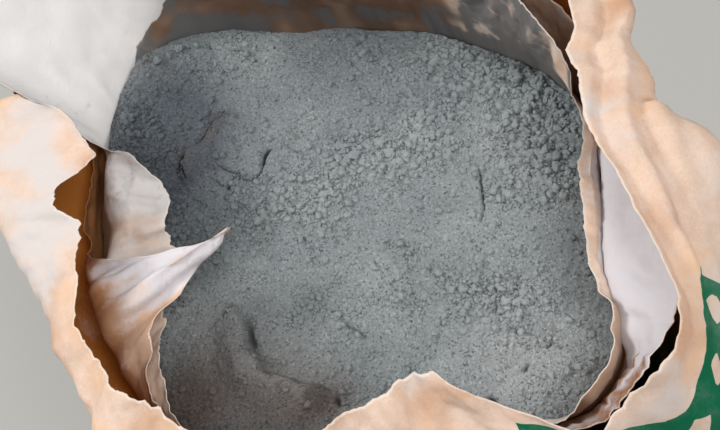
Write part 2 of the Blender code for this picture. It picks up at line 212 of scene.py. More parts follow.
# %% Inner collar
INNER_COLLAR = np.array((
    (0, -7, 29, -6, 50), (10, -7, 32, -3, 62), (18, -6, 34, -2, 70), (30, -5, 37, -1, 80),
    (45, -6, 39, -1, 88), (60, -7, 38, -2, 92), (75, -6, 39, -1, 87), (88, -6, 38, 1, 92),
    (100, -1, 55, 8, 94), (104, 1, 53, 16, 98), (108, 4, 50, 24, 102), (113, 3, 34, 46, 98),
    (117, 1, 25, 58, 88), (122, 0, 13, 71, 79), (126, -1, 9, 75, 77), (131, -2, 9, 82, 76),
    (136, -3, 9, 86, 75), (139, -3, 9, 77, 72), (141, -3, 9, 58, 68), (142, -3, 10, 22, 51),
    (143, -3, 10, 9, 26), (145, -4, 11, 0, 20), (147, -16, 24, -34, 33), (150, -20, 31, -44, 37),
    (155, -23, 33, -53, 37), (160, -27, 33, -60, 35), (165, -33, 31, -61, 31),
    (170, -25, 25, -58, 26), (174, -18, 23, -57, 24), (178, -13, 25, -56, 22),
    (182, -13, 24, -51, 20), (186, -13, 22, -46, 18), (193, -14, 25, -41, 20),
    (198, -15, 29, -38, 26), (204, -15, 32, -32, 35), (209, -14, 31, -27, 39),
    (214, -13, 28, -22, 40), (222, -14, 23, -18, 38), (235, -13, 21, -17, 34),
    (250, -10, 21, -14, 33), (265, -12, 21, -14, 34), (278, -8, 23, -10, 36), (287, -2, 27, 3, 39),
    (294, 2, 30, 7, 42), (298, 1, 31, 1, 43), (301, 0, 32, -2, 44), (304, -1, 33, -3, 44),
    (308, -4, 33, -6, 42), (311, -6, 34, -9, 42), (314, -9, 35, -13, 42), (319, -13, 38, -20, 42),
    (326, -11, 40, -19, 43), (334, -9, 42, -16, 44), (343, -6, 42, -13, 44), (351, -4, 40, -9, 43),
), float)


# %% Reading the tables
NECK_SOFT, BEND_SOFT, TEAR_SOFT = 5.0, 1.2, 0.5
SOFTENING = ((-1.0, 1.0), (-0.5, 2.0), (0.0, 3.0), (0.5, 2.0), (1.0, 1.0))


def eased(share):
    """0 below 0, 1 above 1, and a smooth rise between them."""
    share = np.clip(share, 0.0, 1.0)
    return share * share * (3.0 - 2.0 * share)


def around_mouth(table, degrees, column, soft):
    """A table's value at many angles, softened over a few degrees."""
    angles = np.concatenate((table[:, 0] - 360.0, table[:, 0], table[:, 0] + 360.0))
    values = np.tile(table[:, column], 3)
    total = 0.0
    for shift, weight in SOFTENING:
        total = total + weight * np.interp(degrees + shift * soft, angles, values)
    return total / sum(weight for _, weight in SOFTENING) * PERCENT


def turned_from(degrees, middle=0.0):
    """How far an angle is past the middle one, from -180 to 180."""
    return (degrees - middle + 180.0) % 360.0 - 180.0


def window(degrees, middle, spread):
    """1 at an angle, falling to 0 a spread away on either side."""
    return eased(1.0 - np.abs(turned_from(degrees, middle)) / spread)


def between(degrees, start, end, soft):
    """1 from one angle to the next, falling to 0 over a few degrees outside them."""
    middle, half = 0.5 * (start + end), 0.5 * (end - start)
    return eased((half + soft - np.abs(turned_from(degrees, middle))) / soft)


# %% Body outline
HALVINGS = 40


def rounded_radius(angle, half_width, depth, corner):
    """Distance from the middle to a rounded rectangle, along many angles."""
    dx, dy = np.abs(np.cos(angle)), np.abs(np.sin(angle))
    low, high = np.zeros_like(dx), np.full_like(dx, 2.0 * (half_width + depth))
    for _ in range(HALVINGS):
        mid = 0.5 * (low + high)
        over_x = np.maximum(mid * dx - (half_width - corner), 0.0)
        over_y = np.maximum(mid * dy - (depth - corner), 0.0)
        inside = np.hypot(over_x, over_y) < corner
        low, high = np.where(inside, mid, low), np.where(inside, high, mid)
    return low


def neck_radius(degrees):
    return around_mouth(NECK, degrees, 1, NECK_SOFT) * ROUND_RADIUS


def body_radius(degrees, z, loose=False):
    """Outside of the sack below the neck, at one height; loose adds the outer ply's pouch."""
    share = eased(z / BELLY_Z)
    half_width = BOTTOM_HALF_WIDTH + (BELLY_HALF_WIDTH - BOTTOM_HALF_WIDTH) * share
    corner = BOTTOM_CORNER + (BELLY_CORNER - BOTTOM_CORNER) * share
    half_depth = (GIRTH + (8.0 - 2.0 * math.pi) * corner) / 4.0 - half_width
    lower = rounded_radius(np.radians(degrees), half_width, half_depth, corner)
    rise = eased((z - 0.5 * BELLY_Z) / (NECK_Z - 0.5 * BELLY_Z))
    pouch = POUCH_REACH * window(degrees, POUCH_ANGLE, POUCH_SPREAD)
    stand_off = pouch * eased((z - POUCH_FOOT_Z) / (NECK_Z - POUCH_FOOT_Z)) if loose else 0.0
    return lower + (neck_radius(degrees) - lower) * rise + stand_off


def placed(degrees, radius, z):
    """Points at a radius and a height, one to an angle."""
    angle, z = np.radians(degrees), np.broadcast_to(z, radius.shape)
    return np.stack((radius * np.cos(angle), radius * np.sin(angle), z), -1)


# %% [markdown]
# ## Random grain that is the same every time
# Creases, lumps and dust all need noise. This is gradient noise in three dimensions, worked out
# for whole arrays at once, with a fixed table of directions so each run gives the same sack.

# %% Noise
HASH_X, HASH_Y, HASH_Z, HASH_SEED, HASH_AGAIN = 73856093, 19349663, 83492791, 2654435761, 1274126177
NOISE_GAIN = 1.6
DIRECTIONS = np.random.default_rng(5).normal(size=(1024, 3))
DIRECTIONS /= np.linalg.norm(DIRECTIONS, axis=1)[:, None]


def noise(points, size, seed):
    """Smooth noise, about -1 to 1, whose features are size metres wide."""
    shape = points.shape[:-1]
    scaled = points.reshape(-1, 3) / size
    cell = np.floor(scaled).astype(np.int64)
    part = scaled - cell
    fade = part ** 3 * (part * (part * 6.0 - 15.0) + 10.0)
    total = np.zeros(len(scaled))
    for corner in np.ndindex(2, 2, 2):
        at = cell + corner
        code = at[:, 0] * HASH_X ^ at[:, 1] * HASH_Y ^ at[:, 2] * HASH_Z ^ (seed + 1) * HASH_SEED
        code = (code ^ (code >> 13)) * HASH_AGAIN
        slope = DIRECTIONS[((code ^ (code >> 16)) & 1023)]
        share = np.prod(np.where(corner, fade, 1.0 - fade), axis=1)
        total += share * ((part - corner) * slope).sum(1)
    return (total * NOISE_GAIN).reshape(shape)


def layered(points, size, seed, octaves):
    """Noise of several sizes on top of each other, each half as wide and half as strong."""
    total, weight = 0.0, 1.0
    for octave in range(octaves):
        total = total + weight * noise(points, size / 2.0 ** octave, seed + 17 * octave)
        weight *= 0.5
    return total


# %% [markdown]
# ## Creases
# Paper doesn't bend like rubber: it stays flat between sharp lines. Two kinds are used here. A
# tent is one straight ridge that falls away evenly on both sides. Crumple is the absolute value
# of smooth noise, which is sharp wherever the noise changes sign, as in handled paper.

# %% Creases
def tent(off, half_width):
    """1 on a line, falling evenly to 0 on both sides of it."""
    return np.maximum(0.0, 1.0 - np.abs(off) / half_width)


def crease_set(seed, count, up_range, length, width, height, lean):
    """Rows of random creases: place along the girth and up, tilt, half length, half width, height."""
    draw = np.random.default_rng(seed)
    tilt = draw.normal(math.pi / 2, lean, count)
    big = draw.uniform(0.0, 1.0, count) ** 2
    return np.stack((
        draw.uniform(0.0, GIRTH, count), draw.uniform(*up_range, count), tilt,
        length[0] + (length[1] - length[0]) * big, width[0] + (width[1] - width[0]) * big,
        (height[0] + (height[1] - height[0]) * big) * draw.choice((-1.0, 1.0), count)), 1)


def crease_sets(*rows):
    """Several sets in one; each row holds what crease_set takes."""
    return np.concatenate([crease_set(*row) for row in rows])


def creased(along, up, creases):
    """Height of a set of creases at places on the paper."""
    total = np.zeros(np.broadcast(along, up).shape)
    for at, rise, tilt, length, width, height in creases:
        sideways = (along - at + 0.5 * GIRTH) % GIRTH - 0.5 * GIRTH
        upwards = up - rise
        lengthwise = sideways * math.cos(tilt) + upwards * math.sin(tilt)
        across = upwards * math.cos(tilt) - sideways * math.sin(tilt)
        total += height * tent(across, width) * eased(1.0 - np.abs(lengthwise) / length)
    return total


# %% Crumple
def wrapped(along, up, stretch=1.0):
    """Places on the paper, rolled up so that noise meets itself at the seam."""
    angle = along * (2.0 * math.pi / GIRTH)
    return np.stack((ROUND_RADIUS * np.cos(angle), ROUND_RADIUS * np.sin(angle), up * stretch), -1)


FOLD_MEAN, FOLD_FALL = 0.25, 1.8


def crumple(along, up, size, seed, stretch):
    """Sharp folds of three sizes, longer up the sack than round it."""
    place, total = wrapped(along, up, stretch), 0.0
    for layer in range(3):
        fold = np.abs(noise(place, size / 2.0 ** layer, seed + 7 * layer)) - FOLD_MEAN
        total = total + (-1.0) ** layer * fold / FOLD_FALL ** layer
    return total


def crumpled(along, up, layers):
    """Crumple added up; each layer holds a height, a size, a seed and a stretch."""
    return sum(height * crumple(along, up, size, seed, stretch)
               for height, size, seed, stretch in layers)


# %% [markdown]
# A crease set holds a seed and a count, then the least and most for place up, half length,
# half width and height in metres, and how far its creases lean from upright.

# %% Creases and dents of the body
body_creases = crease_sets(
    (1, 60, (0.02, 0.50), (0.03, 0.12), (0.008, 0.030), (0.0006, 0.0030), 0.7),
    (2, 34, (0.00, 0.14), (0.02, 0.07), (0.006, 0.020), (0.0005, 0.0022), 1.4),
    (3, 70, (0.40, 0.52), (0.015, 0.06), (0.005, 0.016), (0.0004, 0.0020), 0.5))

BODY_CRUMPLE = ((0.0035, 0.075, 5, 0.5), (0.0016, 0.030, 9, 0.7))
PLAIN_FOOT = 0.05


def body_dents(along, up):
    """Relief that all plies share, since they lie against each other on the powder."""
    soft = crumpled(along, up, BODY_CRUMPLE)
    return (creased(along, up, body_creases) + soft) * eased(up / PLAIN_FOOT)


print(len(body_creases), "creases on the body")


# %% Paper grid helpers
BEVEL = math.radians(45.0)
SHORTEST_LEG = 0.004
BEND_FROM, BEND_TO = 0.25, 0.65
EASING_ROUNDS = 3


def facing(grid):
    """Unit normals of a grid of rings, pointing out of the sack where it is a body."""
    along = np.roll(grid, -1, 1) - np.roll(grid, 1, 1)
    up = np.gradient(grid, axis=0)
    n = np.cross(along, up)
    return n / np.maximum(np.linalg.norm(n, axis=2), 1e-12)[:, :, None]


def bottom_ring(ring, depth):
    """The lowest ring of the bevel round the bottom, for a surface this deep in the sack."""
    bend = math.tan(0.5 * BEVEL)
    radius = np.hypot(ring[:, 0], ring[:, 1])
    share = (radius - BOTTOM_EDGE + (1.0 - bend) * depth) / radius
    return np.stack((ring[:, 0] * share, ring[:, 1] * share, np.full(len(ring), depth)), 1)


def body_grid(degrees, heights, depth, loose=False):
    """Rings of the body at this depth in the sack, dents and all."""
    grid = np.stack([placed(degrees, body_radius(degrees, z, loose), z) for z in heights])
    along = np.broadcast_to(degrees / 360.0 * GIRTH, grid.shape[:2])
    dent = body_dents(along, grid[:, :, 2])
    return grid + facing(grid) * (dent - depth)[:, :, None]


def collar_grid(neck_ring, degrees, collar, steps, ragged, tight):
    """Rings above the neck: nearly straight to the bend, round it, nearly straight to the tear."""
    neck = neck_radius(degrees)
    start = np.stack((np.hypot(neck_ring[:, 0], neck_ring[:, 1]), neck_ring[:, 2]), 1)
    reach = [around_mouth(collar, degrees, c, soft) * COLLAR_LENGTH
             for c, soft in ((1, BEND_SOFT), (2, BEND_SOFT), (3, TEAR_SOFT), (4, TEAR_SOFT))]
    bend = np.stack((neck + reach[0], NECK_Z + reach[1]), 1)
    tear = np.stack((neck + reach[2], NECK_Z + reach[3]), 1)
    last_leg = np.maximum(np.linalg.norm(tear - bend, axis=1), SHORTEST_LEG)
    tear = tear + (tear - bend) * (ragged / last_leg)[:, None]
    near, far = start + (bend - start) * tight, tear + (bend - tear) * tight
    rings = []
    for step in range(1, steps + 1):
        share = step / steps
        if share < BEND_FROM:
            line = start + (near - start) * (share / BEND_FROM)
        elif share < BEND_TO:
            b = (share - BEND_FROM) / (BEND_TO - BEND_FROM)
            line = near * (1 - b) ** 2 + bend * (2 * b * (1 - b)) + far * b * b
        else:
            line = far + (tear - far) * ((share - BEND_TO) / (1.0 - BEND_TO))
        rings.append(placed(degrees, line[:, 0], 0.0) + line[:, 1, None] * np.array([0.0, 0.0, 1.0]))
    return np.stack(rings)


def relaxed(grid, first, last):
    """Eases the bend between rings first and last, without moving the others."""
    for _ in range(EASING_ROUNDS):
        middle = 0.5 * grid[first:last] + 0.25 * (grid[first - 1:last - 1] + grid[first + 1:last + 1])
        grid = np.concatenate((grid[:first], middle, grid[last:]))
    return grid


# %% Joining rings into a mesh
def grid_faces(rows, columns, offset=0, flip=False):
    """Four-sided faces between rings whose points are numbered one after another."""
    r, c = np.meshgrid(np.arange(rows - 1), np.arange(columns), indexing="ij")
    a = offset + r * columns + c
    b = offset + r * columns + (c + 1) % columns
    quads = np.stack((a, b, b + columns, a + columns), -1).reshape(-1, 4)
    return quads[:, ::-1] if flip else quads


def make_piece(name, points, faces, values, material, node, caps=(), smooth=True):
    """A mesh from arrays, with named values for its material to read, riding on the frame."""
    mesh = bpy.data.meshes.new(name)
    mesh.from_pydata(points.tolist(), [], faces.tolist() + [list(cap) for cap in caps])
    for key, data in values.items():
        mesh.attributes.new(key, "FLOAT", "POINT").data.foreach_set("value", data.astype(np.float32))
    if smooth:
        mesh.shade_smooth()
    mesh.materials.append(material)
    ob = bpy.data.objects.new(name, mesh)
    bpy.context.scene.collection.objects.link(ob)
    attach(ob, "root")
    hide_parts(node)
    triangles = sum(len(p.vertices) - 2 for p in mesh.polygons)
    print(name, triangles, "triangles, box in mm",
          [tuple(round(v / MM) for v in c) for c in (points.min(0), points.max(0))])
    return ob


# %% [markdown]
# ## Kraft paper
# All three plies are the same brown kraft, seen clean, under dust or in shade. One function makes
# the finish: fibres and mottling in the colour, a pale torn edge, and where the mesh's own values
# ask for them dust, cement smears, orange patches and painted shade on the sheets that lie in the
# gaps between plies, with a little light that shines through the sheet.

# %% Shader helpers
class Tree:
    """Short names for adding and joining shader nodes."""

    def __init__(self, name):
        self.material = bpy.data.materials.new(name)
        self.material.use_nodes = True
        self.nodes, self.links = self.material.node_tree.nodes, self.material.node_tree.links
        self.shader = self.nodes["Principled BSDF"]
        self.place = self.nodes.new("ShaderNodeTexCoord").outputs["Object"]

    def feed(self, socket, value):
        """Joins an output to a socket, or sets the socket to a number or a colour."""
        if isinstance(value, bpy.types.NodeSocket):
            self.links.new(value, socket)
        elif isinstance(value, tuple) and len(value) == 3 and socket.type == "RGBA":
            socket.default_value = (*value, 1.0)
        else:
            socket.default_value = value

    def add(self, kind, inputs, **settings):
        """A new node with its settings made and its inputs fed; gives the node's outputs."""
        node = self.nodes.new("ShaderNode" + kind)
        for key, setting in settings.items():
            setattr(node, key, setting)
        for key, value in inputs.items():
            self.feed(node.inputs[key], value)
        return node.outputs

    def math(self, operation, a, b=0.5, c=0.5):
        return self.add("Math", {0: a, 1: b, 2: c}, operation=operation)[0]

    def times(self, a, b):
        return self.math("MULTIPLY", a, b)

    def scaled(self, a, factor, b):
        """A times the factor, plus b."""
        return self.math("MULTIPLY_ADD", a, factor, b)

    def noise(self, size, detail, rough, stretch=(1, 1, 1), warp=0.0):
        """Noise from 0 to 1 with features size metres wide."""
        place = self.add("Mapping", {"Scale": [s / size for s in stretch], "Vector": self.place})[0]
        return self.add("TexNoise", {"Scale": 1.0, "Detail": detail, "Roughness": rough,
                                     "Distortion": warp, "Vector": place})["Fac"]

    def ramp(self, value, low, high, to_low=0.0, to_high=1.0):
        """Value stretched from low..high to to_low..to_high, with soft ends."""
        limits = {"From Min": low, "From Max": high, "To Min": to_low, "To Max": to_high}
        return self.add("MapRange", {**limits, "Value": value}, interpolation_type="SMOOTHSTEP")["Result"]

    def mix(self, share, a, b, blend="MIX"):
        return self.add("Mix", {0: share, 6: a, 7: b}, data_type="RGBA", blend_type=blend)[2]

    def value(self, name):
        """What the mesh says at each point under this name."""
        return self.add("Attribute", {}, attribute_name=name)["Fac"]

    def cells(self, size, feature, place):
        """Distance to the middles or edges of cells that are size metres wide."""
        return self.add("TexVoronoi", {"Scale": 1.0 / size, "Vector": place}, feature=feature)["Distance"]

    def warped(self, size, reach):
        """The place pushed about by noise, so that cells drawn from it are ragged."""
        push = self.add("TexNoise", {"Scale": 1.0 / size, "Detail": 3.0, "Vector": self.place})["Color"]
        reach = [2.0 * reach] * 3
        return self.add("VectorMath", {0: push, 1: reach, 2: self.place}, operation="MULTIPLY_ADD")[0]

    def bump(self, height, strength, distance, below=None):
        inputs = {"Strength": strength, "Distance": distance, "Height": height}
        if below is not None:
            inputs["Normal"] = below
        return self.add("Bump", inputs)["Normal"]

    def surface(self, colour, roughness, shine):
        looks = {"Base Color": colour, "Roughness": roughness, "Specular IOR Level": shine}
        for key, value in looks.items():
            self.feed(self.shader.inputs[key], value)


# %% Paper finish
PRINT_GREEN = (0.002, 0.145, 0.064)
# Colours for the tone mask, one to a ply: orange patches and brown on the paper, and painted shade where a
# sheet lies in a gap between plies
ORANGE_AND_SHADE_KRAFT = (0.43, 0.165, 0.032)
ORANGE_KRAFT = (0.82, 0.52, 0.31)
MIDDLE_BROWN_AND_SHADE = (0.32, 0.135, 0.045)
INNER_BROWN_AND_SHADE = (0.200, 0.115, 0.072)
# Grey for cement smears, also used as painted shade on the inner ply's flap and back wall
SMEAR_AND_SHADE_GREY = (0.165, 0.168, 0.170)
TORN_PAPER = (0.84, 0.76, 0.68)
KRAFT_DARK, KRAFT_LIGHT = (0.70, 0.51, 0.385), (0.82, 0.655, 0.54)
KRAFT_ROUGHNESS, KRAFT_SHINE = 0.85, 0.2


def paper_finish(name, dust, glow, through, wrinkled=0.6, tone_and_shade_colour=ORANGE_AND_SHADE_KRAFT, printed=False):
    """Kraft paper: the colour of its dust and of light through it, and how much comes through."""
    t = Tree(name)
    fibres = t.noise(0.0011, 4.0, 0.6, (1, 1, 0.3), 0.6)
    mottle = t.noise(0.014, 4.0, 0.6)
    tone = t.math("ADD", t.times(fibres, 0.4), t.times(mottle, 0.6))
    colour = t.mix(t.ramp(tone, 0.32, 0.68), KRAFT_DARK, KRAFT_LIGHT)
    patch = t.noise(0.045, 5.0, 0.6, warp=0.5)
    colour = t.mix(t.ramp(patch, 0.50, 0.68, 0.0, 0.55), colour, ORANGE_KRAFT)
    # Tone mask: orange patches, a dark back wall, and painted shade on sheets lying in the gaps between
    # plies
    colour = t.mix(t.ramp(t.value("deep"), 0.0, 1.0), colour, tone_and_shade_colour)
    if printed:
        worn = t.ramp(t.noise(0.004, 5.0, 0.7), 0.66, 0.80, 1.0, 0.45)
        inked = t.ramp(t.value("print"), -0.15, 0.15)
        colour = t.mix(t.times(inked, worn), colour, PRINT_GREEN)
        glow = t.mix(inked, glow, PRINT_GREEN)
    speckle = t.noise(0.0030, 5.0, 0.7)
    cloud = t.scaled(t.noise(0.026, 5.0, 0.62, warp=0.4), 0.9, t.value("pale"))
    dusted = t.ramp(t.scaled(speckle, 0.35, cloud), 0.72, 1.15)
    if printed:
        bare = t.scaled(inked, -0.85, 1.0)
        dusted = t.times(dusted, bare)
    colour = t.mix(dusted, colour, dust)
    # Cement smears, and painted shade where the same grey is laid on the inner ply's flap and back wall
    smear_and_shade_amount = t.scaled(t.noise(0.011, 6.0, 0.7, warp=0.8), 0.7, t.value("grime"))
    smear_and_shade_mask = t.ramp(t.scaled(speckle, 0.3, smear_and_shade_amount), 0.68, 1.05, 0.0, 0.95)
    colour = t.mix(smear_and_shade_mask, colour, SMEAR_AND_SHADE_GREY)
    frayed = t.scaled(t.noise(0.0022, 4.0, 0.7), 0.005, -0.0014)
    torn = t.math("LESS_THAN", t.value("edge"), frayed)
    colour = t.mix(t.times(torn, 0.6), colour, TORN_PAPER)
    t.surface(colour, KRAFT_ROUGHNESS, KRAFT_SHINE)
    wrinkle = t.bump(t.noise(0.008, 5.0, 0.62, (1, 1, 0.6), 0.5), wrinkled, 0.0010)
    t.feed(t.shader.inputs["Normal"], t.bump(fibres, 0.35, 0.00025, wrinkle))
    back_light = t.add("BsdfTranslucent", {"Color": t.mix(0.75, colour, glow)})[0]
    both = t.add("MixShader", {0: through, 1: t.shader.outputs[0], 2: back_light})[0]
    t.feed(t.nodes["Material Output"].inputs["Surface"], both)
    return t.material


outer_paper = paper_finish("kraft_outside", dust=(0.680, 0.640, 0.615), glow=(0.95, 0.42, 0.12),
                           through=0.20, printed=True)
middle_paper = paper_finish("kraft_middle", dust=(0.71, 0.685, 0.715), glow=(0.95, 0.40, 0.10),
                            through=0.15, tone_and_shade_colour=MIDDLE_BROWN_AND_SHADE)
inner_paper = paper_finish("kraft_inside", dust=(0.78, 0.765, 0.76), glow=(0.95, 0.60, 0.35),
                           through=0.14, wrinkled=0.35, tone_and_shade_colour=INNER_BROWN_AND_SHADE)


# %% [markdown]
# ## The three plies
# Each ply is one cup of paper: a bottom, the body, and a collar torn all round. Its two skins
# share their rings, so that neither shows through the other where the body is dented.

# %% Torn edges
TEAR_RADIUS, SEED_STEP = 0.16, 0.37
LOBE_REACH, LOBE_SIZE = 0.0032, 0.034
TOOTH_REACH, TOOTH_SIZE = 0.0014, 0.007
FRAY_REACH, FRAY_SIZE = 0.0008, 0.0025
WILD_SIZE = 0.06


def periodic(degrees, size, seed, octaves=3):
    """Noise round the mouth, one value an angle; size is in metres along the rim."""
    ring = placed(degrees, np.full(len(degrees), TEAR_RADIUS), SEED_STEP * seed)
    return layered(ring, size, seed, octaves)


def torn_edge(degrees, seed):
    """How far the tear runs past or short of its line: long lobes with small teeth on them."""
    lobes = LOBE_REACH * periodic(degrees, LOBE_SIZE, seed)
    wild = 0.35 + 1.3 * np.clip(0.5 + periodic(degrees, WILD_SIZE, seed + 9, 1), 0.0, 1.0)
    teeth = TOOTH_REACH * periodic(degrees, TOOTH_SIZE, seed + 3)
    frayed = FRAY_REACH * periodic(degrees, FRAY_SIZE, seed + 5)
    return lobes + wild * (teeth + frayed)


# %% Making a ply
PLAY = 0.3 * MM


def make_ply(name, node, order, collar, material, shape, paint, columns, body_rows,
             collar_rows, seed, tight, bottom=None, tear=torn_edge):
    """One sheet with two skins; order counts the plies outside it, and tight sharpens its bend."""
    degrees = np.arange(columns) * 360.0 / columns
    depth = order * PLY_PITCH + PLAY
    heights = np.linspace(BOTTOM_EDGE, NECK_Z, body_rows)
    body = body_grid(degrees, heights, depth, loose=order == 0)
    collar_part = collar_grid(body[-1], degrees, collar, collar_rows, tear(degrees, seed), tight)
    grid = relaxed(np.concatenate((body, collar_part)), body_rows - 2, body_rows + 3)
    step = np.linalg.norm(np.diff(grid, axis=0), axis=2)
    up = np.concatenate((np.zeros((1, columns)), np.cumsum(step, 0))) + BOTTOM_EDGE
    along = np.broadcast_to(degrees / 360.0 * GIRTH, up.shape)
    share = np.clip((np.arange(len(grid)) - body_rows + 1.0) / collar_rows, 0.0, 1.0)
    share = share[:, None] * np.ones(columns)
    grid = grid + facing(grid) * shape(along, up, degrees, share)[:, :, None]
    edge = up[-1] - up
    n = facing(grid)
    out_skin, in_skin = grid + n * 0.5 * PAPER, grid - n * 0.5 * PAPER
    foot = bottom_ring(out_skin[0], depth - PLAY)[None]
    under = foot if bottom is None else bottom(foot[0], depth - PLAY)
    outside = np.concatenate((under, out_skin))
    inside = np.concatenate((bottom_ring(in_skin[0], depth - PLAY + PAPER)[None], in_skin))
    points = np.concatenate((outside.reshape(-1, 3), inside.reshape(-1, 3)))
    count = outside.shape[0] * columns
    quads = [grid_faces(outside.shape[0], columns), grid_faces(inside.shape[0], columns, count, True)]
    rim_out = count - columns + np.arange(columns)
    rim_in = len(points) - columns + np.arange(columns)
    quads.append(np.stack((rim_out, np.roll(rim_out, -1), np.roll(rim_in, -1), rim_in), 1))

    def both(outer_field, inner_field):
        below = np.broadcast_to(outer_field[:1], (len(under), columns))
        return np.concatenate((below, outer_field, inner_field[:1], inner_field)).reshape(-1)

    values = {"edge": both(edge, edge)}
    for key, (out_field, in_field) in paint(along, up, degrees, share, edge).items():
        values[key] = both(out_field * np.ones_like(up), in_field * np.ones_like(up))
    caps = (range(columns - 1, -1, -1), range(count, count + columns))
    return make_piece(name, points, np.concatenate(quads), values, material, node, caps)


# %% [markdown]
# ## Outer ply
# The outside sheet is cream kraft with a plain green block printed round the front corner. Its
# collar leans inwards round most of the mouth and swells into a pouch at the front right.

# %% Print
PRINT_FROM, PRINT_TO, PRINT_FOOT = 0.640, 0.892, 0.150
PRINT_TOP, TOP_RISE, RISE_FROM, RISE_WIDTH = 0.500, 0.25, 0.785, 0.040
BORDER, BORDER_RIGHT, BORDER_TURN, TURN_WIDTH = 0.0125, 0.0260, 0.825, 0.02
LOZENGE_PITCH, LOZENGE_DROP, LOZENGE_TIP = 0.0180, 0.016, 0.004
LOZENGE_HALF_WIDTH, LOZENGE_HALF_HEIGHT = 0.0050, 0.0075
GAP_FOOT, GAP_TOP = 0.170, 0.176
RULE_FOOT, RULE_TOP = 0.105, 0.120
TEAR_BLUR = 20


def printed_panel(along, up, edge):
    """How far inside the green print a place is, in mm: a block with plain lozenges, over a rule."""
    def band(value, low, high):
        return np.minimum(value - low, high - value)

    tear = edge[0] + up[0]
    wide_tear = np.concatenate((tear[-TEAR_BLUR:], tear, tear[:TEAR_BLUR]))
    count = 2 * TEAR_BLUR + 1
    edge = np.convolve(wide_tear, np.full(count, 1.0 / count), "valid") - up
    slant = PRINT_TOP + TOP_RISE * eased((along - RISE_FROM) / RISE_WIDTH)
    border = BORDER + (BORDER_RIGHT - BORDER) * eased((along - BORDER_TURN) / TURN_WIDTH)
    across = band(along, PRINT_FROM, PRINT_TO)
    block = np.minimum(np.minimum(across, band(up, PRINT_FOOT, slant)), edge - border)
    sideways = np.abs((along - PRINT_FROM) % LOZENGE_PITCH - 0.5 * LOZENGE_PITCH)
    lozenge = sideways / LOZENGE_HALF_WIDTH + np.abs(edge - border - LOZENGE_DROP) / LOZENGE_HALF_HEIGHT
    plain = np.minimum(LOZENGE_TIP * (lozenge - 1.0), -band(up, GAP_FOOT, GAP_TOP))
    block = np.minimum(block, plain)
    return np.maximum(block, np.minimum(across, band(up, RULE_FOOT, RULE_TOP))) / MM


# %% Underside
BOTTOM_RINGS = (0.02, 0.12, 0.24, 0.36, 0.48, 0.60, 0.72, 0.82, 0.90, 0.96)
FLAP_HALF_WIDTH, FLAP_SLANT, FLAP_STEP, FLAP_RISE = 0.052, 0.55, 0.004, 0.0012
SEAM_Y, SEAM_HALF_WIDTH, SEAM_STEP, SEAM_RISE = 0.004, 0.012, 0.002, 0.0009
SEAM_HALF_LENGTH, SEAM_END = 0.165, 0.01


def folded_bottom(foot, depth):
    """Rings across the underside, a little higher where the folded flaps and their seam lie."""
    rings = []
    for share in BOTTOM_RINGS:
        ring = foot * np.array([share, share, 1.0])
        x, y = np.abs(ring[:, 0]), ring[:, 1]
        flap = eased((FLAP_HALF_WIDTH - x - FLAP_SLANT * np.abs(y)) / FLAP_STEP + 0.5)
        seam = eased((SEAM_HALF_WIDTH - np.abs(y - SEAM_Y)) / SEAM_STEP + 0.5)
        seam = seam * (1.0 - flap) * eased((SEAM_HALF_LENGTH - x) / SEAM_END)
        ring[:, 2] = depth + FLAP_RISE * flap + SEAM_RISE * seam
        rings.append(ring)
    return np.stack(rings + [foot])


# %% Outer ply's creases
outer_creases = crease_sets(
    (11, 80, (0.49, 0.64), (0.015, 0.06), (0.004, 0.014), (0.0005, 0.0026), 0.5),
    (12, 50, (0.52, 0.64), (0.010, 0.03), (0.003, 0.009), (0.0004, 0.0014), 1.5))
OUTER_CRUMPLE = ((0.0085, 0.062, 21, 0.35), (0.0030, 0.020, 27, 0.5))

# %% Folds beside the rim: each ridge's height, place under the first one and half width
RIDGES = ((0.0058, 0.0, 0.008), (-0.0026, -0.011, 0.005), (0.0022, 0.019, 0.008))
RIDGE_DROP, RIDGE_WAVE = 0.023, 0.006
PLEAT_RISE, PLEAT_FROM, PLEAT_EASE = 0.0050, 0.026, 0.008
PLEAT_ANGLE, PLEAT_TURN = -13.5, -4.0
SLIMMING = 0.0075


def long_folds(degrees, edge):
    """Two ridges beside the torn edge on the right, and a pleat that crosses to the rim's outside."""
    turned = turned_from(degrees)
    right = eased((turned + 52.0) / 14.0) * eased((44.0 - turned) / 16.0)
    off = edge - (RIDGE_DROP + RIDGE_WAVE * np.sin(turned * 0.085 + 0.6))
    ridges = sum(height * tent(off - drop, half_width) for height, drop, half_width in RIDGES)
    under = pleat_line(edge) - turned
    pleat = PLEAT_RISE * eased(under / 0.7) * eased((20.0 - under) / 18.0)
    pleat = pleat * eased((edge - PLEAT_FROM) / PLEAT_EASE)
    slim = SLIMMING * between(degrees, 347, 366, 8) * eased((edge - 0.030) / 0.015)
    return (ridges + pleat - slim * eased((0.085 - edge) / 0.03)) * right


def pleat_line(edge):
    """Where the pleat on the right runs: degrees past the +X side, for a distance from the tear."""
    return PLEAT_ANGLE + PLEAT_TURN * eased((edge - 0.030) / 0.030)


# %% Outer ply's shape and finish
def outer_shape(along, up, degrees, share):
    """How far the creases and folds push the outer ply out of its plain form."""
    arc = partial(between, degrees)
    loose = eased(share / 0.4)
    wide = crumpled(along, up, OUTER_CRUMPLE)
    calm = 1.0 - 0.72 * arc(322, 395, 12) - 0.55 * arc(152, 196, 12)
    clear = 0.0009 * (arc(102, 118, 6) + arc(139, 143, 3))
    folds = creased(along, up, outer_creases) + wide * calm + long_folds(degrees, up[-1] - up)
    return (folds + clear) * loose


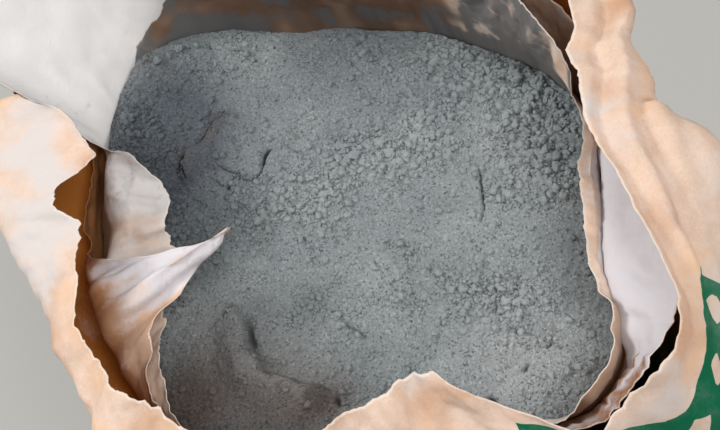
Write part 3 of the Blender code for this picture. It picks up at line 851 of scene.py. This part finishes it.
def outer_paint(along, up, degrees, share, edge):
    """Values for the finish, each for the outer and the inner skin."""
    arc, place = partial(between, degrees), wrapped(along, up)
    left = arc(146, 186, 12)
    front_left = arc(190, 285, 12)
    top = eased((up - 0.47) / 0.08)
    pale = 0.14 + 0.16 * left - 0.12 * front_left + (0.30 + 0.25 * left) * layered(place, 0.05, 25, 2)
    orange = np.clip(noise(place, 0.032, 28) - 0.06, 0, 1) * top * (0.75 + 0.15 * left)
    off_pleat = np.abs(turned_from(degrees) - pleat_line(edge) - 0.5)
    on_pleat = eased(1.0 - off_pleat / 1.3) * eased((edge - PLEAT_FROM) / PLEAT_EASE)
    # A darker orange line along the pleat: painted shadow of the pleat's step
    orange = orange + 0.50 * on_pleat * top
    low = 0.25 * eased((0.06 - up) / 0.06)
    # Below the bend the inner skin faces the gap between plies and is painted orange-brown: painted shade
    below_bend = eased((0.62 - share) / 0.2)
    return {"pale": (top * pale, 0.10 * top), "deep": (orange, 0.95 * below_bend + 0.25 * top),
            "grime": (low, 0.0), "print": (printed_panel(along, up, edge), -5.0)}


# %% Outer ply
make_ply("outer_ply_paper", "outer_ply", 0, OUTER_COLLAR, outer_paper, outer_shape,
         outer_paint, columns=576, body_rows=32, collar_rows=44, seed=21, tight=0.62, bottom=folded_bottom)

# %% [markdown]
# ## Middle ply
# This sheet shows as a torn strip that reaches over the powder on the left, and as a pleated
# pale band on the right where it leans out against the outer ply.

# %% Middle ply's creases
middle_creases = crease_sets(
    (31, 80, (0.49, 0.62), (0.012, 0.05), (0.004, 0.012), (0.0004, 0.0022), 0.45),
    (32, 40, (0.49, 0.62), (0.008, 0.02), (0.003, 0.007), (0.0002, 0.0010), 1.5))
MIDDLE_CRUMPLE = ((0.0040, 0.045, 41, 0.35), (0.0022, 0.016, 47, 0.5))


# %% Middle ply's shape and finish
def middle_shape(along, up, degrees, share):
    arc = partial(between, degrees)
    pleats = np.abs((degrees + 3.0 * np.sin(degrees * 0.9)) / 3.0 % 2.0 - 1.0) - 0.5
    gathered = arc(296, 311, 8) * pleats * 0.0020
    fan = arc(176, 204, 8) * (np.abs(degrees / 4.4 % 2.0 - 1.0) - 0.5) * 0.0042
    loose = eased((share - 0.15) / 0.5)
    wide = crumpled(along, up, MIDDLE_CRUMPLE)
    tucked = -0.0042 * arc(312, 352, 8) * eased(1.0 - np.abs(share - 0.42) / 0.28)
    apart = 0.0016 * arc(140, 147, 3) * eased(share / 0.15)
    return (creased(along, up, middle_creases) + wide + gathered + fan) * loose + tucked + apart


def middle_paint(along, up, degrees, share, edge):
    arc = partial(between, degrees)
    right = between(degrees + 2.6 * np.sin(share * 26.0), 311.0, 358.0, 7.0)
    pleated = arc(294, 311, 4)
    streaks = 0.03 * np.sin(degrees * 1.3)
    strip = arc(180, 196, 3) * eased((share + streaks - 0.42) / 0.45)
    left = arc(138, 178, 3)
    shade = eased((0.75 - share) / 0.3)
    ribs = 0.5 + 0.5 * np.sin(degrees * 2.1)
    pale_in = 0.15 + 0.72 * right - 0.15 * left + 0.10 * pleated * ribs
    # Inside, painted shade: dark on the pleats, most towards their foot, and on the left where the sheet
    # lies in the gap
    tone_and_shade_in = 0.30 * (1.0 - right) + pleated * (0.72 + 0.25 * shade) + 0.6 * left
    root = arc(180, 206, 4) * eased((share - 0.55) / 0.2)
    # Outside, painted shade: dark wherever the sheet lies in the gap, none on the torn strip and a little
    # less beside it
    tone_and_shade_out = 0.80 * (1.0 - strip) - 0.30 * root * (1.0 - strip)
    hidden_tear = edge + 0.02 * arc(138, 176, 3)
    return {"pale": (0.05 + 0.60 * strip, pale_in), "deep": (tone_and_shade_out, tone_and_shade_in),
            "grime": (0.19 * strip, 0.0),
            "edge": (hidden_tear, hidden_tear)}


# %% Middle ply
make_ply("middle_ply_paper", "middle_ply", 1, MIDDLE_COLLAR, middle_paper, middle_shape,
         middle_paint, columns=560, body_rows=32, collar_rows=44, seed=41, tight=0.72)

# %% [markdown]
# ## Inner ply
# The inside sheet holds the powder. It is white with dust where the far left corner lies open,
# painted grey towards the flap's end and dark grey and brown along the back, with cement smears
# and painted shade, and curls in as a small tongue on the left.

# %% Inner ply's creases
inner_creases = crease_sets(
    (51, 90, (0.49, 0.64), (0.012, 0.05), (0.004, 0.013), (0.0004, 0.0022), 0.5),
    (52, 50, (0.49, 0.64), (0.008, 0.02), (0.003, 0.008), (0.0002, 0.0010), 1.5))
INNER_CRUMPLE = ((0.0050, 0.050, 61, 0.4), (0.0024, 0.018, 67, 0.5))


# %% Inner ply's shape and finish
def inner_tear(degrees, seed):
    """The tear beside the powder on the right is nearly clean."""
    return torn_edge(degrees, seed) * (1.0 - 0.65 * between(degrees, 298, 356, 6))


def inner_shape(along, up, degrees, share):
    arc = partial(between, degrees)
    loose = eased((share - 0.10) / 0.5)
    wide = crumpled(along, up, INNER_CRUMPLE) * (1.0 - 0.55 * arc(108, 144, 6))
    tongue = arc(150, 168, 6) * eased((share - 0.5) / 0.5)
    cupped = -0.0060 * tongue * np.cos((degrees - 159.0) * math.pi / 12.0)
    return (creased(along, up, inner_creases) + wide) * loose + cupped


def inner_paint(along, up, degrees, share, edge):
    arc, place = partial(between, degrees), wrapped(along, up)
    cloudy = layered(place, 0.030, 63, 3)
    ragged = 0.05 * layered(place, 0.012, 64, 3)
    foot_of_flap = 0.30 - 0.24 * eased((degrees - 122.0) / 6.0)
    flap = arc(106, 147, 2) * eased((share + ragged - foot_of_flap) / 0.03)
    corner = arc(104, 147, 4)
    back = arc(44, 116, 10) * (1.0 - flap)
    side = arc(350, 396, 10)
    tongue = arc(147, 176, 3) * eased((share - 0.14) / 0.12)
    cream = arc(166, 178, 5)
    strip = arc(186, 240, 8) * eased((share - 0.35) / 0.2)
    right = arc(300, 352, 4)
    kraft = eased((0.0098 - edge) / 0.0015)
    lower = arc(292, 313, 5)
    near_fill = eased((0.514 - up) / 0.02)
    # Greyer towards the flap's end by the left rim: painted shade
    flap_shade = flap * eased((degrees - 131.0) / 8.0)
    pale_in = 0.25 + 0.80 * flap - 0.35 * back
    warm = flap * np.clip(noise(place, 0.05, 65) - 0.05, 0, 1) * eased((share - 0.5) / 0.2)
    # The top of the back wall, which the lamps reach, gets more grey below: painted shade
    lit = eased((share - 0.50) / 0.12)
    # The back wall is painted dark brown in clouds
    tone_and_shade_in = np.clip(back * (0.90 + 0.4 * cloudy), 0, 1) + 0.25 * warm
    streaky = layered(placed(degrees * 3.0, np.full(up.shape, 0.05), up * 0.25), 0.02, 66, 3)
    smear_and_shade_in = 0.30 * near_fill + 0.06 * back + 0.10 * back * lit + 0.55 * side + 0.45 * cloudy
    # Below the flap the wall gets grey: cement smears and painted shade
    smear_and_shade_in = smear_and_shade_in + 0.30 * corner + 0.25 * streaky * (back + side)
    smear_and_shade_in = smear_and_shade_in * (1.0 - flap) + 0.17 * flap_shade
    white = right * (0.85 - 0.70 * kraft) * (1.0 - lower)
    pale_out = 0.05 + tongue * (0.55 - 0.32 * cream) + 0.10 * strip + white
    # Outside, painted shade: dark brown where the sheet lies in the gaps, and darker on the low strip on
    # the right
    tone_and_shade_out = 0.8 * (1.0 - np.clip(tongue + strip + right, 0, 1)) + 0.15 * strip + 0.45 * lower
    return {"pale": (pale_out, pale_in), "deep": (tone_and_shade_out, tone_and_shade_in),
            "grime": (0.22 * tongue * (1.0 - cream) + 0.10 * lower, smear_and_shade_in)}


# %% Inner ply
make_ply("inner_ply_paper", "inner_ply", 2, INNER_COLLAR, inner_paper, inner_shape,
         inner_paint, columns=640, body_rows=24, collar_rows=46, seed=61, tight=0.75, tear=inner_tear)

# %% [markdown]
# ## The powder
# Cement in a newly opened sack is packed, dry and dull: broad smooth heaps where it was pressed,
# crumbly patches where it was disturbed, and a few short cracks. The surface is a fine grid
# squeezed from a square into the mouth's outline, raised by heaps, ledges, clods, lumps and
# grain, and cut by cracks.

# %% Heaps and hollows: x, y and spread in percent of ROUND_RADIUS, rise in mm
HEAPS = (
    (-60, -43, 26, 9), (-31, -38, 14, -4), (-10, -54, 16, -8), (5, -25, 19, -5), (45, 19, 25, 4),
    (-60, 39, 21, 4), (38, -58, 16, 6), (-12, 30, 28, 2), (66, -22, 15, 5), (28, 70, 34, -9),
    (-20, 84, 26, -6), (70, 48, 24, -6))


def spots(x, y, table, unit=MM):
    """Soft round spots added up: each row of the table is a place, a spread and a strength."""
    total = 0.0
    for spot_x, spot_y, spread, strength in table:
        apart = ((x / unit - spot_x) ** 2 + (y / unit - spot_y) ** 2) / spread ** 2
        total = total + strength * np.exp(-apart)
    return total


# %% Lumps
LUMP_RADIUS = 0.62
LOW_31_BITS = 0x7FFFFFFF


def cell_bumps(x, y, size, seed):
    """Rounded lumps, one to a cell: how far inside its lump a place is, and the lump's own lot."""
    gx, gy = x / size, y / size
    ix, iy = np.floor(gx).astype(np.int64), np.floor(gy).astype(np.int64)
    near, lot = np.full(len(x), 9.0), np.zeros(len(x))
    for dx in (-1, 0, 1):
        for dy in (-1, 0, 1):
            cx, cy = ix + dx, iy + dy
            code = (cx * HASH_X ^ cy * HASH_Y ^ (seed + 11) * HASH_Z) & LOW_31_BITS
            code = (code ^ (code >> 13)) * HASH_AGAIN & LOW_31_BITS
            jx, jy = (code & 1023) / 1023.0, ((code >> 10) & 1023) / 1023.0
            apart = np.hypot(gx - cx - jx, gy - cy - jy)
            closer = apart < near
            lot = np.where(closer, ((code >> 20) & 255) / 255.0, lot)
            near = np.where(closer, apart, near)
    return np.clip(1.0 - near / LUMP_RADIUS, 0.0, 1.0), lot


# %% [markdown]
# Cracks and ledges follow broken lines. A crack is a narrow groove. A ledge is a step: the
# powder is high on its left as the line runs, and falls away to nothing a little further on.

# %% Cracks in mm: points, then half width and depth
CRACKS = (
    ((-34, 55), (-38, 52), (-41, 47), 1.2, 3.4),
    ((-41, 48), (-43, 43), (-49, 40), (-54, 42), 0.8, 2.8),
    ((-53, 42), (-57, 46), (-61, 45), (-66, 40), 0.8, 2.4),
    ((-54, 93), (-57, 87), (-63, 85), (-68, 79), (-76, 75), 1.5, 2.3),
    ((-78, 74), (-86, 71), (-90, 64), (-90, 56), 1.3, 2.5),
    ((-68, 61), (-65, 55), (-60, 50), (-55, 47), (-49, 42), 0.8, 2.2),
    ((-74, 53), (-70, 48), (-67, 43), (-62, 39), 0.8, 1.9),
    ((-83, 70), (-86, 64), (-87, 57), 0.9, 3.0),
    ((-37, 100), (-33, 100), (-27, 98), (-24, 97), 0.5, 1.2),
    ((-16, 97), (-14, 93), (-11, 92), 0.5, 1.2),
    ((-53, 142), (-53, 136), 0.7, 2.0),
    ((-43, 133), (-31, 129), (-31, 124), 0.6, 1.8),
    ((-23, 129), (-12, 123), 0.8, 2.0),
    ((73, -3), (73, -11), (71, -19), (69, -28), (66, -33), (63, -35), 0.7, 2.6),
    ((61, -53), (58, -60), (54, -67), 0.6, 1.6),
    ((60, -74), (58, -83), (56, -92), 0.7, 2.0),
    ((-25, -57), (-22, -61), (-18, -65), (-15, -71), 0.9, 1.8),
    ((-38, -96), (-39, -103), 1.5, 2.6),
    ((-26, 59), (-25, 52), (-22, 48), (-18, 45), (-13, 42), (-5, 43), 0.5, 1.6),
    ((78, -108), (77, -113), (74, -114), (71, -113), 0.7, 2.0),
    ((63, -117), (60, -120), (57, -119), 0.9, 2.4),
    ((37, -126), (41, -130), 1.2, 3.0))

# %% Ledges: points and reach in percent of ROUND_RADIUS, rise and face in mm
LEDGES = (
    ((-25, -60), (-29, -56), (-35, -52), (-40, -49), (-44, -45), (-47, -38), (-47, -31), (-47, -25),
     (-48, -20), (-51, -16), 16, 9),
    ((53, -74), (45, -67), (38, -63), (30, -63), (24, -68), 11, 3),
    ((-32, 58), (-35, 54), (-40, 51), (-45, 46), (-51, 45), (-54, 41), (-54, 34), 18, 4.8),
    ((-5, 41), (-9, 40), (-14, 39), (-16, 34), (-15, 31), 6, 1.4),
    ((19, 60), (29, 53), (39, 50), 8, 1.6))
LEDGE_FACE = 1.3


# %% Grooves and steps along lines
def along_line(x, y, knots):
    """Distance to a broken line, the side of it a place is on, and how far along it lies."""
    line = np.array(knots, float)
    total = np.linalg.norm(np.diff(line, axis=0), axis=1).sum()
    best, side, run, passed = np.full(len(x), 999.0), np.zeros(len(x)), np.zeros(len(x)), 0.0
    for a, b in zip(line, line[1:]):
        d = b - a
        s = np.clip(((x - a[0]) * d[0] + (y - a[1]) * d[1]) / (d @ d), 0.0, 1.0)
        apart = np.hypot(x - a[0] - s * d[0], y - a[1] - s * d[1])
        closer = apart < best
        cross = d[0] * (y - a[1]) - d[1] * (x - a[0])
        side = np.where(closer, np.sign(cross), side)
        run = np.where(closer, (passed + s * np.linalg.norm(d)) / total, run)
        best = np.where(closer, apart, best)
        passed += np.linalg.norm(d)
    return best, side, run


def cracks(x, y):
    """Narrow grooves, deepest at their middles."""
    total = np.zeros(len(x))
    for *knots, width, depth in CRACKS:
        best, _, run = along_line(x / MM, y / MM, knots)
        total += depth * MM * np.exp(-(best / width) ** 2) * (0.35 + 0.65 * np.sin(math.pi * run) ** 0.6)
    return total


def ledges(x, y):
    """Steps that are high on the left of their line."""
    unit, total = PERCENT * ROUND_RADIUS, np.zeros(len(x))
    for *knots, reach, rise in LEDGES:
        best, side, run = along_line(x / unit, y / unit, knots)
        face = np.where(side > 0, 1.0, eased(1.0 - best * unit / (LEDGE_FACE * MM)))
        total += rise * MM * eased(2.2 * np.sin(math.pi * run)) * eased(1.0 - best / reach) * face
    return total


# %% Hollow under the largest ledge: in mm, then in shares of the ledge's length
FOOT_APART, FOOT_HALF_WIDTH, FOOT_DEPTH = 2.2, 2.0, 3.0
FOOT_MIDDLE, FOOT_LENGTH = 0.69, 0.15


def ledge_foot(x, y):
    """A hollow along the low side of the largest ledge, where powder has run out from under it."""
    unit = PERCENT * ROUND_RADIUS
    *knots, _, _ = LEDGES[0]
    best, side, run = along_line(x / unit, y / unit, knots)
    apart = best * unit - FOOT_APART * MM
    where = 0.25 + 0.75 * np.exp(-((run - FOOT_MIDDLE) / FOOT_LENGTH) ** 2)
    hollow = FOOT_DEPTH * MM * np.exp(-(apart / (FOOT_HALF_WIDTH * MM)) ** 2)
    return hollow * (side < 0) * where * eased(2.6 * np.sin(math.pi * run))


# %% Single clods: x, y and radius in mm
CLODS = (
    (-89, 60, 2.6), (-20, 55, 4.6), (-7, 63, 3.0), (-2, 54, 2.8), (-6, 47, 2.0), (-13, 47, 2.2),
    (56, 23, 2.0), (37, 27, 1.6), (71, 74, 2.0), (111, 36, 3.4), (103, 30, 2.0), (35, -8, 1.8),
    (53, -40, 1.6), (77, -104, 4.4), (66, -97, 3.6), (70, -74, 2.0), (126, 10, 2.0), (84, -96, 2.4),
    (96, 44, 2.6), (88, 52, 2.2))
CLOD_RISE, CLOD_EDGE = 0.42, 2.2
CLOD_SHADE, CLOD_SHADE_WIDTH = 1.05, 0.14


def clods(x, y):
    """Flat-topped clods pressed into the surface: their rise, and the shade round their feet."""
    rise, foot = np.zeros(len(x)), np.zeros(len(x))
    for clod_x, clod_y, radius in CLODS:
        apart = np.hypot(x / MM - clod_x, y / MM - clod_y) / radius
        rise += CLOD_RISE * radius * MM * np.minimum(1.0, CLOD_EDGE * np.clip(1.0 - apart, 0.0, 1.0))
        foot += np.exp(-((apart - CLOD_SHADE) / CLOD_SHADE_WIDTH) ** 2)
    return rise, foot


# %% Wall side: angle, and how far the powder is heaped or sunk against the paper there, in mm
WALL_RISE = np.array((
    (0, 0), (25, -2), (45, -5), (68, -8), (88, -10), (101, -5), (113, 4), (118, 8), (122, 12),
    (126, 12), (131, 10), (138, 7), (145, 3), (152, 0), (360, 0)), float)
WALL_FROM, WALL_WIDTH = 0.72, 0.26


def against_wall(x, y):
    """How far the powder is raised beside the paper, over the outer part of the mouth."""
    angle = np.degrees(np.arctan2(y, x)) % 360.0
    reach = np.hypot(x, y) / neck_radius(angle)
    rise = np.interp(angle, WALL_RISE[:, 0], WALL_RISE[:, 1]) * MM
    return rise * eased((reach - WALL_FROM) / WALL_WIDTH)


# %% Broken and smooth places: x, y and spread in mm, and how much rougher or smoother
ROUGHER = (
    (100, 33, 40, 0.7), (-14, 55, 18, 0.7), (-85, 75, 30, 0.2), (12, 85, 26, -0.8), (-32, 88, 34, -1.1),
    (-40, 62, 16, -0.9), (95, -47, 22, -0.5), (-85, -75, 34, -0.9), (-40, -85, 30, -0.9),
    (20, -70, 40, -0.4), (60, -85, 14, 0.5))

# %% Swells, lumps and warps: size and reach in m, seed, and for lumps the share of cells left flat
LUMPS = ((0.0085, 0.0022, 81, 0.92), (0.0050, 0.0013, 82, 0.84), (0.0031, 0.0009, 83, 0.58))
SWELLS = ((0.050, 0.0014, 72), (0.016, 0.0009, 73))
WARPS = ((0.010, 0.0026, 95), (0.0032, 0.0007, 97))
FILL_DROP = 0.002
BROKEN_MEAN, BROKEN_SWING, BROKEN_SIZE = 0.42, 1.1, 0.045
LEAST_BROKEN, MOST_BROKEN = 0.04, 1.2
GRAIN_SIZE, GRAIN_RISE, GRAIN_MORE = 0.0024, 0.0005, 0.0009
COARSE_SIZE, COARSE_RISE = 0.005, 0.0008


# %% Surface height
def powder_height(x, y):
    """Height of the powder's surface, how crumbly it is, and how much painted shade its grooves get."""
    flat = np.stack((x, y, np.zeros_like(x)), 1)
    warp = 0.0
    for size, reach, seed in WARPS:
        warp = warp + reach * np.stack((noise(flat, size, seed), noise(flat, size, seed + 1)), 1)
    wx, wy = x + warp[:, 0], y + warp[:, 1]
    coarse = BROKEN_MEAN + BROKEN_SWING * layered(flat, BROKEN_SIZE, 71, 3)
    coarse = np.clip(coarse + spots(x, y, ROUGHER), LEAST_BROKEN, MOST_BROKEN)
    z = NECK_Z - FILL_DROP + MM * spots(x, y, HEAPS, PERCENT * ROUND_RADIUS)
    for size, rise, seed in SWELLS:
        z += rise * layered(flat, size, seed, 2)
    clod_rise, clod_foot = clods(x + 0.5 * warp[:, 0], y + 0.5 * warp[:, 1])
    z += ledges(wx, wy) + clod_rise + against_wall(x, y)
    for size, rise, seed, flat_share in LUMPS:
        lump, lot = cell_bumps(wx, wy, size, seed)
        high = np.clip((lot - flat_share) / (1.0 - flat_share), 0, 1) * (0.3 + coarse)
        z += rise * np.minimum(1.5 * np.sqrt(lump), 0.9) * high
    z += (GRAIN_RISE + GRAIN_MORE * coarse) * noise(flat, GRAIN_SIZE, 90)
    z += COARSE_RISE * coarse * noise(flat, COARSE_SIZE, 91)
    crack = cracks(x + 0.35 * warp[:, 0], y + 0.35 * warp[:, 1])
    foot = ledge_foot(wx, wy)
    return z - crack - foot, coarse, (crack + 0.85 * foot) / MM + 0.9 * clod_foot


# %% Powder finish
CEMENT_GREY, CEMENT_PALE = (0.266, 0.297, 0.306), (0.348, 0.380, 0.388)
# Colours for painted light, painted shade, and a painted brown shade warmed by light from the kraft
LIGHT_AND_SHADE_COLOURS = {"painted_light": (0.47, 0.485, 0.50), "shaded": (0.115, 0.130, 0.148),
                "painted_brown_shade": (0.142, 0.114, 0.102)}
# Greys for painted shade in pits, beside grains and in cracks
DENT_SHADE_GREY, CRACK_SHADE_GREY = (0.02, 0.022, 0.025), (0.022, 0.022, 0.022)
BRIGHTER = (1.42, 1.42, 1.42)
CEMENT_ROUGHNESS, CEMENT_SHINE = 0.95, 0.12

t = Tree("cement_dust")
loose = t.value("loose")
ragged = t.warped(0.0035, 0.0014)
broken = t.ramp(t.scaled(t.value("crumbly"), 0.22, t.noise(0.012, 4.0, 0.6)), 0.50, 0.74)
grey = t.mix(t.ramp(t.noise(0.045, 4.0, 0.55), 0.35, 0.68), CEMENT_GREY, CEMENT_PALE)
# Painted light and painted shade are laid over the powder's own grey
for name, colour in LIGHT_AND_SHADE_COLOURS.items():
    grey = t.mix(t.value(name), grey, colour)
# Pits and broken ragged arcs round the grains are painted dark: painted shade in the pits and painted
# shadow lines beside the grains
pores = t.scaled(broken, 0.06, t.noise(0.0014, 2.0, 0.6, warp=0.6))
pitted = t.ramp(pores, 0.580, 0.640, 0.0, 0.72)
arcs = t.ramp(t.cells(0.0046, "DISTANCE_TO_EDGE", ragged), 0.0, 0.075, 1.0, 0.0)
here = t.ramp(t.noise(0.0055, 2.0, 0.5), 0.50, 0.56)
here = t.times(here, t.scaled(broken, 0.55, 0.25))
dents = t.math("MAXIMUM", pitted, t.times(arcs, here))
shaded_dents = t.mix(dents, grey, t.mix(0.80, grey, DENT_SHADE_GREY))
granules = t.ramp(t.noise(0.0017, 3.0, 0.7), 0.55, 0.62, 0.0, 0.8)
bright = t.mix(1.0, grey, BRIGHTER, "MULTIPLY")
grey = t.mix(loose, t.mix(granules, shaded_dents, bright), t.mix(0.4, grey, bright))
# Cracks, the hollow under the largest ledge and the clods' feet are painted dark: painted shade
grey = t.mix(t.ramp(t.value("crack"), 0.5, 2.6, 0.0, 0.9), grey, CRACK_SHADE_GREY)
t.surface(grey, CEMENT_ROUGHNESS, CEMENT_SHINE)
lumpy = t.times(t.cells(0.0032, "F1", ragged), broken)
clod_bump = t.bump(lumpy, 0.9, -0.0016)
grain_bump = t.bump(t.cells(0.0014, "F1", t.warped(0.0016, 0.0006)), 0.7, -0.0007, clod_bump)
fine = t.bump(t.noise(0.0024, 6.0, 0.80), 1.0, 0.0017, grain_bump)
t.feed(t.shader.inputs["Normal"], t.bump(t.noise(0.0009, 4.0, 0.7), 0.9, 0.0006, fine))
cement_paint = t.material

# %% Painted light and shade on the powder: x, y and spread in mm, and how strong
LIGHT_AND_SHADE_SPOTS = {
    "shaded": ((-104, 62, 42, 0.95), (-84, 112, 40, 0.75), (-80, 88, 30, 0.35), (-64, 70, 18, 0.25),
               (60, 95, 30, 0.22), (100, 60, 30, 0.24), (-124, -82, 24, 0.65), (15, 112, 40, 0.42),
               (-92, 10, 20, 0.40), (-58, 84, 5, 0.30)),
    "painted_brown_shade": ((-122, -78, 28, 0.95), (-95, -55, 28, 0.30), (-70, -85, 34, 0.42), (-60, -108, 30, 0.50),
                 (-58, 84, 6, 0.35), (-66, 77, 6, 0.40), (-82, 68, 7, 0.38), (-88, 140, 12, 0.25),
                 (-40, -98, 12, 0.40)),
    "painted_light": ((70, -95, 34, 0.42), (95, -10, 34, 0.36), (20, -60, 34, 0.18), (-58, 62, 13, 0.22),
              (45, -125, 24, 0.30), (-92, -42, 26, 0.45), (-89, 60, 4, 0.60)),
}


def powder_values(x, y, crumbly, crack, loose=0.0):
    """What the powder's finish reads at each point; loose is 1 on the crumbs."""
    values = {name: spots(x, y, table) for name, table in LIGHT_AND_SHADE_SPOTS.items()}
    return {**values, "crumbly": crumbly, "crack": crack, "loose": loose * np.ones(len(x))}


# %% [markdown]
# A square grid of points is squeezed into a disc, and the disc is stretched to the sack's wall.
# That keeps the grid nearly even, so no part of the surface is coarser than another.

# %% Powder surface
FILL_COUNT = 300
FILL_DEPTH = 3.0 * PLY_PITCH
SIDE_LEVELS, SIDE_RECESS = (0.40, 0.30, 0.20, 0.10, BOTTOM_EDGE), 0.003
RING_STEP, WALL_STEP = 0.01, 0.5

square = np.linspace(-1.0, 1.0, FILL_COUNT)
square_x, square_y = np.meshgrid(square, square, indexing="xy")
disc_x = (square_x * np.sqrt(1.0 - square_y ** 2 / 2.0)).ravel()
disc_y = (square_y * np.sqrt(1.0 - square_x ** 2 / 2.0)).ravel()
fill_angle = np.degrees(np.arctan2(disc_y, disc_x)) % 360.0
wall_angles = np.arange(0.0, 360.0 + WALL_STEP, WALL_STEP)
wall_ring = body_grid(wall_angles[:-1], np.array([NECK_Z - RING_STEP, NECK_Z]), FILL_DEPTH)[-1]
wall_radius = np.hypot(wall_ring[:, 0], wall_ring[:, 1])
wall_radius = np.append(wall_radius, wall_radius[0])


def wall_at(angle):
    """How far out the powder reaches, where it meets the inner ply."""
    return np.interp(angle % 360.0, wall_angles, wall_radius)


fill_x, fill_y = wall_at(fill_angle) * disc_x, wall_at(fill_angle) * disc_y
height, crumbly, crack = powder_height(fill_x, fill_y)
print("powder surface from", round(height.min() / MM), "to", round(height.max() / MM), "mm")

# %% Powder piece
top = np.stack((fill_x, fill_y, height), 1)
index = np.arange(FILL_COUNT * FILL_COUNT).reshape(FILL_COUNT, FILL_COUNT)
tops = np.stack((index[:-1, :-1], index[:-1, 1:], index[1:, 1:], index[1:, :-1]), -1).reshape(-1, 4)
border = np.concatenate((index[0, :-1], index[:-1, -1], index[-1, :0:-1], index[:0:-1, 0]))
rings = [top[border]]
for level in SIDE_LEVELS:
    two_levels = np.array([level, level + RING_STEP])
    rings.append(body_grid(fill_angle[border], two_levels, FILL_DEPTH + SIDE_RECESS)[0])
rings.append(bottom_ring(rings[-1], FILL_DEPTH))
side_points = np.concatenate(rings[1:])
points = np.concatenate((top, side_points))
side_index = np.arange(len(top), len(points)).reshape(-1, len(border))
side_index = [border] + list(side_index)
sides = [np.stack((low, np.roll(low, -1), np.roll(high, -1), high), 1)
         for high, low in zip(side_index, side_index[1:])]
plain = np.zeros(len(side_points))
values = powder_values(points[:, 0], points[:, 1], np.concatenate((crumbly, plain)),
                       np.concatenate((crack, plain)))
make_piece("cement_powder", points, np.concatenate([tops] + sides), values, cement_paint,
           "cement_fill", (side_index[-1][::-1],))

# %% [markdown]
# ## Crumbs
# Loose crumbs lie on the powder, thickest where it was disturbed. Each is a small rock with
# random corners, flattened and sunk a little; all of them together make one mesh.

# %% Rock
golden = (1.0 + math.sqrt(5.0)) / 2.0
ROCK = np.array((
    (-1, golden, 0), (1, golden, 0), (-1, -golden, 0), (1, -golden, 0), (0, -1, golden), (0, 1, golden),
    (0, -1, -golden), (0, 1, -golden), (golden, 0, -1), (golden, 0, 1), (-golden, 0, -1),
    (-golden, 0, 1))) / math.hypot(1.0, golden)
ROCK_FACES = np.array((
    (0, 11, 5), (0, 5, 1), (0, 1, 7), (0, 7, 10), (0, 10, 11), (1, 5, 9), (5, 11, 4), (11, 10, 2),
    (10, 7, 6), (7, 1, 8), (3, 9, 4), (3, 4, 2), (3, 2, 6), (3, 6, 8), (3, 8, 9), (4, 9, 5),
    (2, 4, 11), (6, 2, 10), (8, 6, 7), (9, 8, 1)))

# %% Crumbs
CRUMB_SEED, CRUMB_TRIES, CRUMB_COUNT = 77, 60000, 7500
CRUMB_REACH = 0.93
CRUMBS_ANYWHERE, CRUMBS_WHERE_BROKEN = 0.035, 0.33
CRUMB_LEAST, CRUMB_RARELY, CRUMB_OFTEN = 0.00045, 0.0019, 0.0006
CRUMB_LIFT = 0.25
CORNER_REACH, CRUMB_STRETCH = (0.72, 1.18), ((0.8, 1.35), (0.8, 1.2), (0.55, 0.9))

draw = np.random.default_rng(CRUMB_SEED)
spot_angle = draw.uniform(0, 360, CRUMB_TRIES)
spot_reach = wall_at(spot_angle) * np.sqrt(draw.uniform(0, CRUMB_REACH, CRUMB_TRIES))
spot_x = spot_reach * np.cos(np.radians(spot_angle))
spot_y = spot_reach * np.sin(np.radians(spot_angle))
spot_z, spot_crumbly, _ = powder_height(spot_x, spot_y)
likely = CRUMBS_ANYWHERE + CRUMBS_WHERE_BROKEN * spot_crumbly ** 2
chosen = np.flatnonzero(draw.uniform(0, 1, CRUMB_TRIES) < likely)[:CRUMB_COUNT]
count = len(chosen)
rarely, often = draw.uniform(0, 1, count) ** 5, draw.uniform(0, 1, count) ** 2
sizes = CRUMB_LEAST + CRUMB_RARELY * rarely + CRUMB_OFTEN * often
corners = ROCK[None] * draw.uniform(*CORNER_REACH, (count, len(ROCK), 1)) * sizes[:, None, None]
stretch = [draw.uniform(least, most, count) for least, most in CRUMB_STRETCH]
corners = corners * np.stack(stretch, 1)[:, None]
spin = draw.uniform(0, 2 * math.pi, count)[:, None]
corner_x, corner_y, corner_z = np.moveaxis(corners, 2, 0)
turned = np.stack((corner_x * np.cos(spin) - corner_y * np.sin(spin),
                   corner_x * np.sin(spin) + corner_y * np.cos(spin), corner_z), 2)
home = np.stack((spot_x[chosen], spot_y[chosen], spot_z[chosen] + CRUMB_LIFT * sizes), 1)
crumb_points = (turned + home[:, None]).reshape(-1, 3)
crumb_faces = (ROCK_FACES[None] + len(ROCK) * np.arange(count)[:, None, None]).reshape(-1, 3)
none = np.zeros(len(crumb_points))
crumb_values = powder_values(crumb_points[:, 0], crumb_points[:, 1], none, none, 1.0)
make_piece("cement_crumbs", crumb_points, crumb_faces, crumb_values, cement_paint, "cement_fill",
           smooth=False)
print(count, "crumbs, the largest", round(2 * sizes.max() / MM, 1), "mm across")
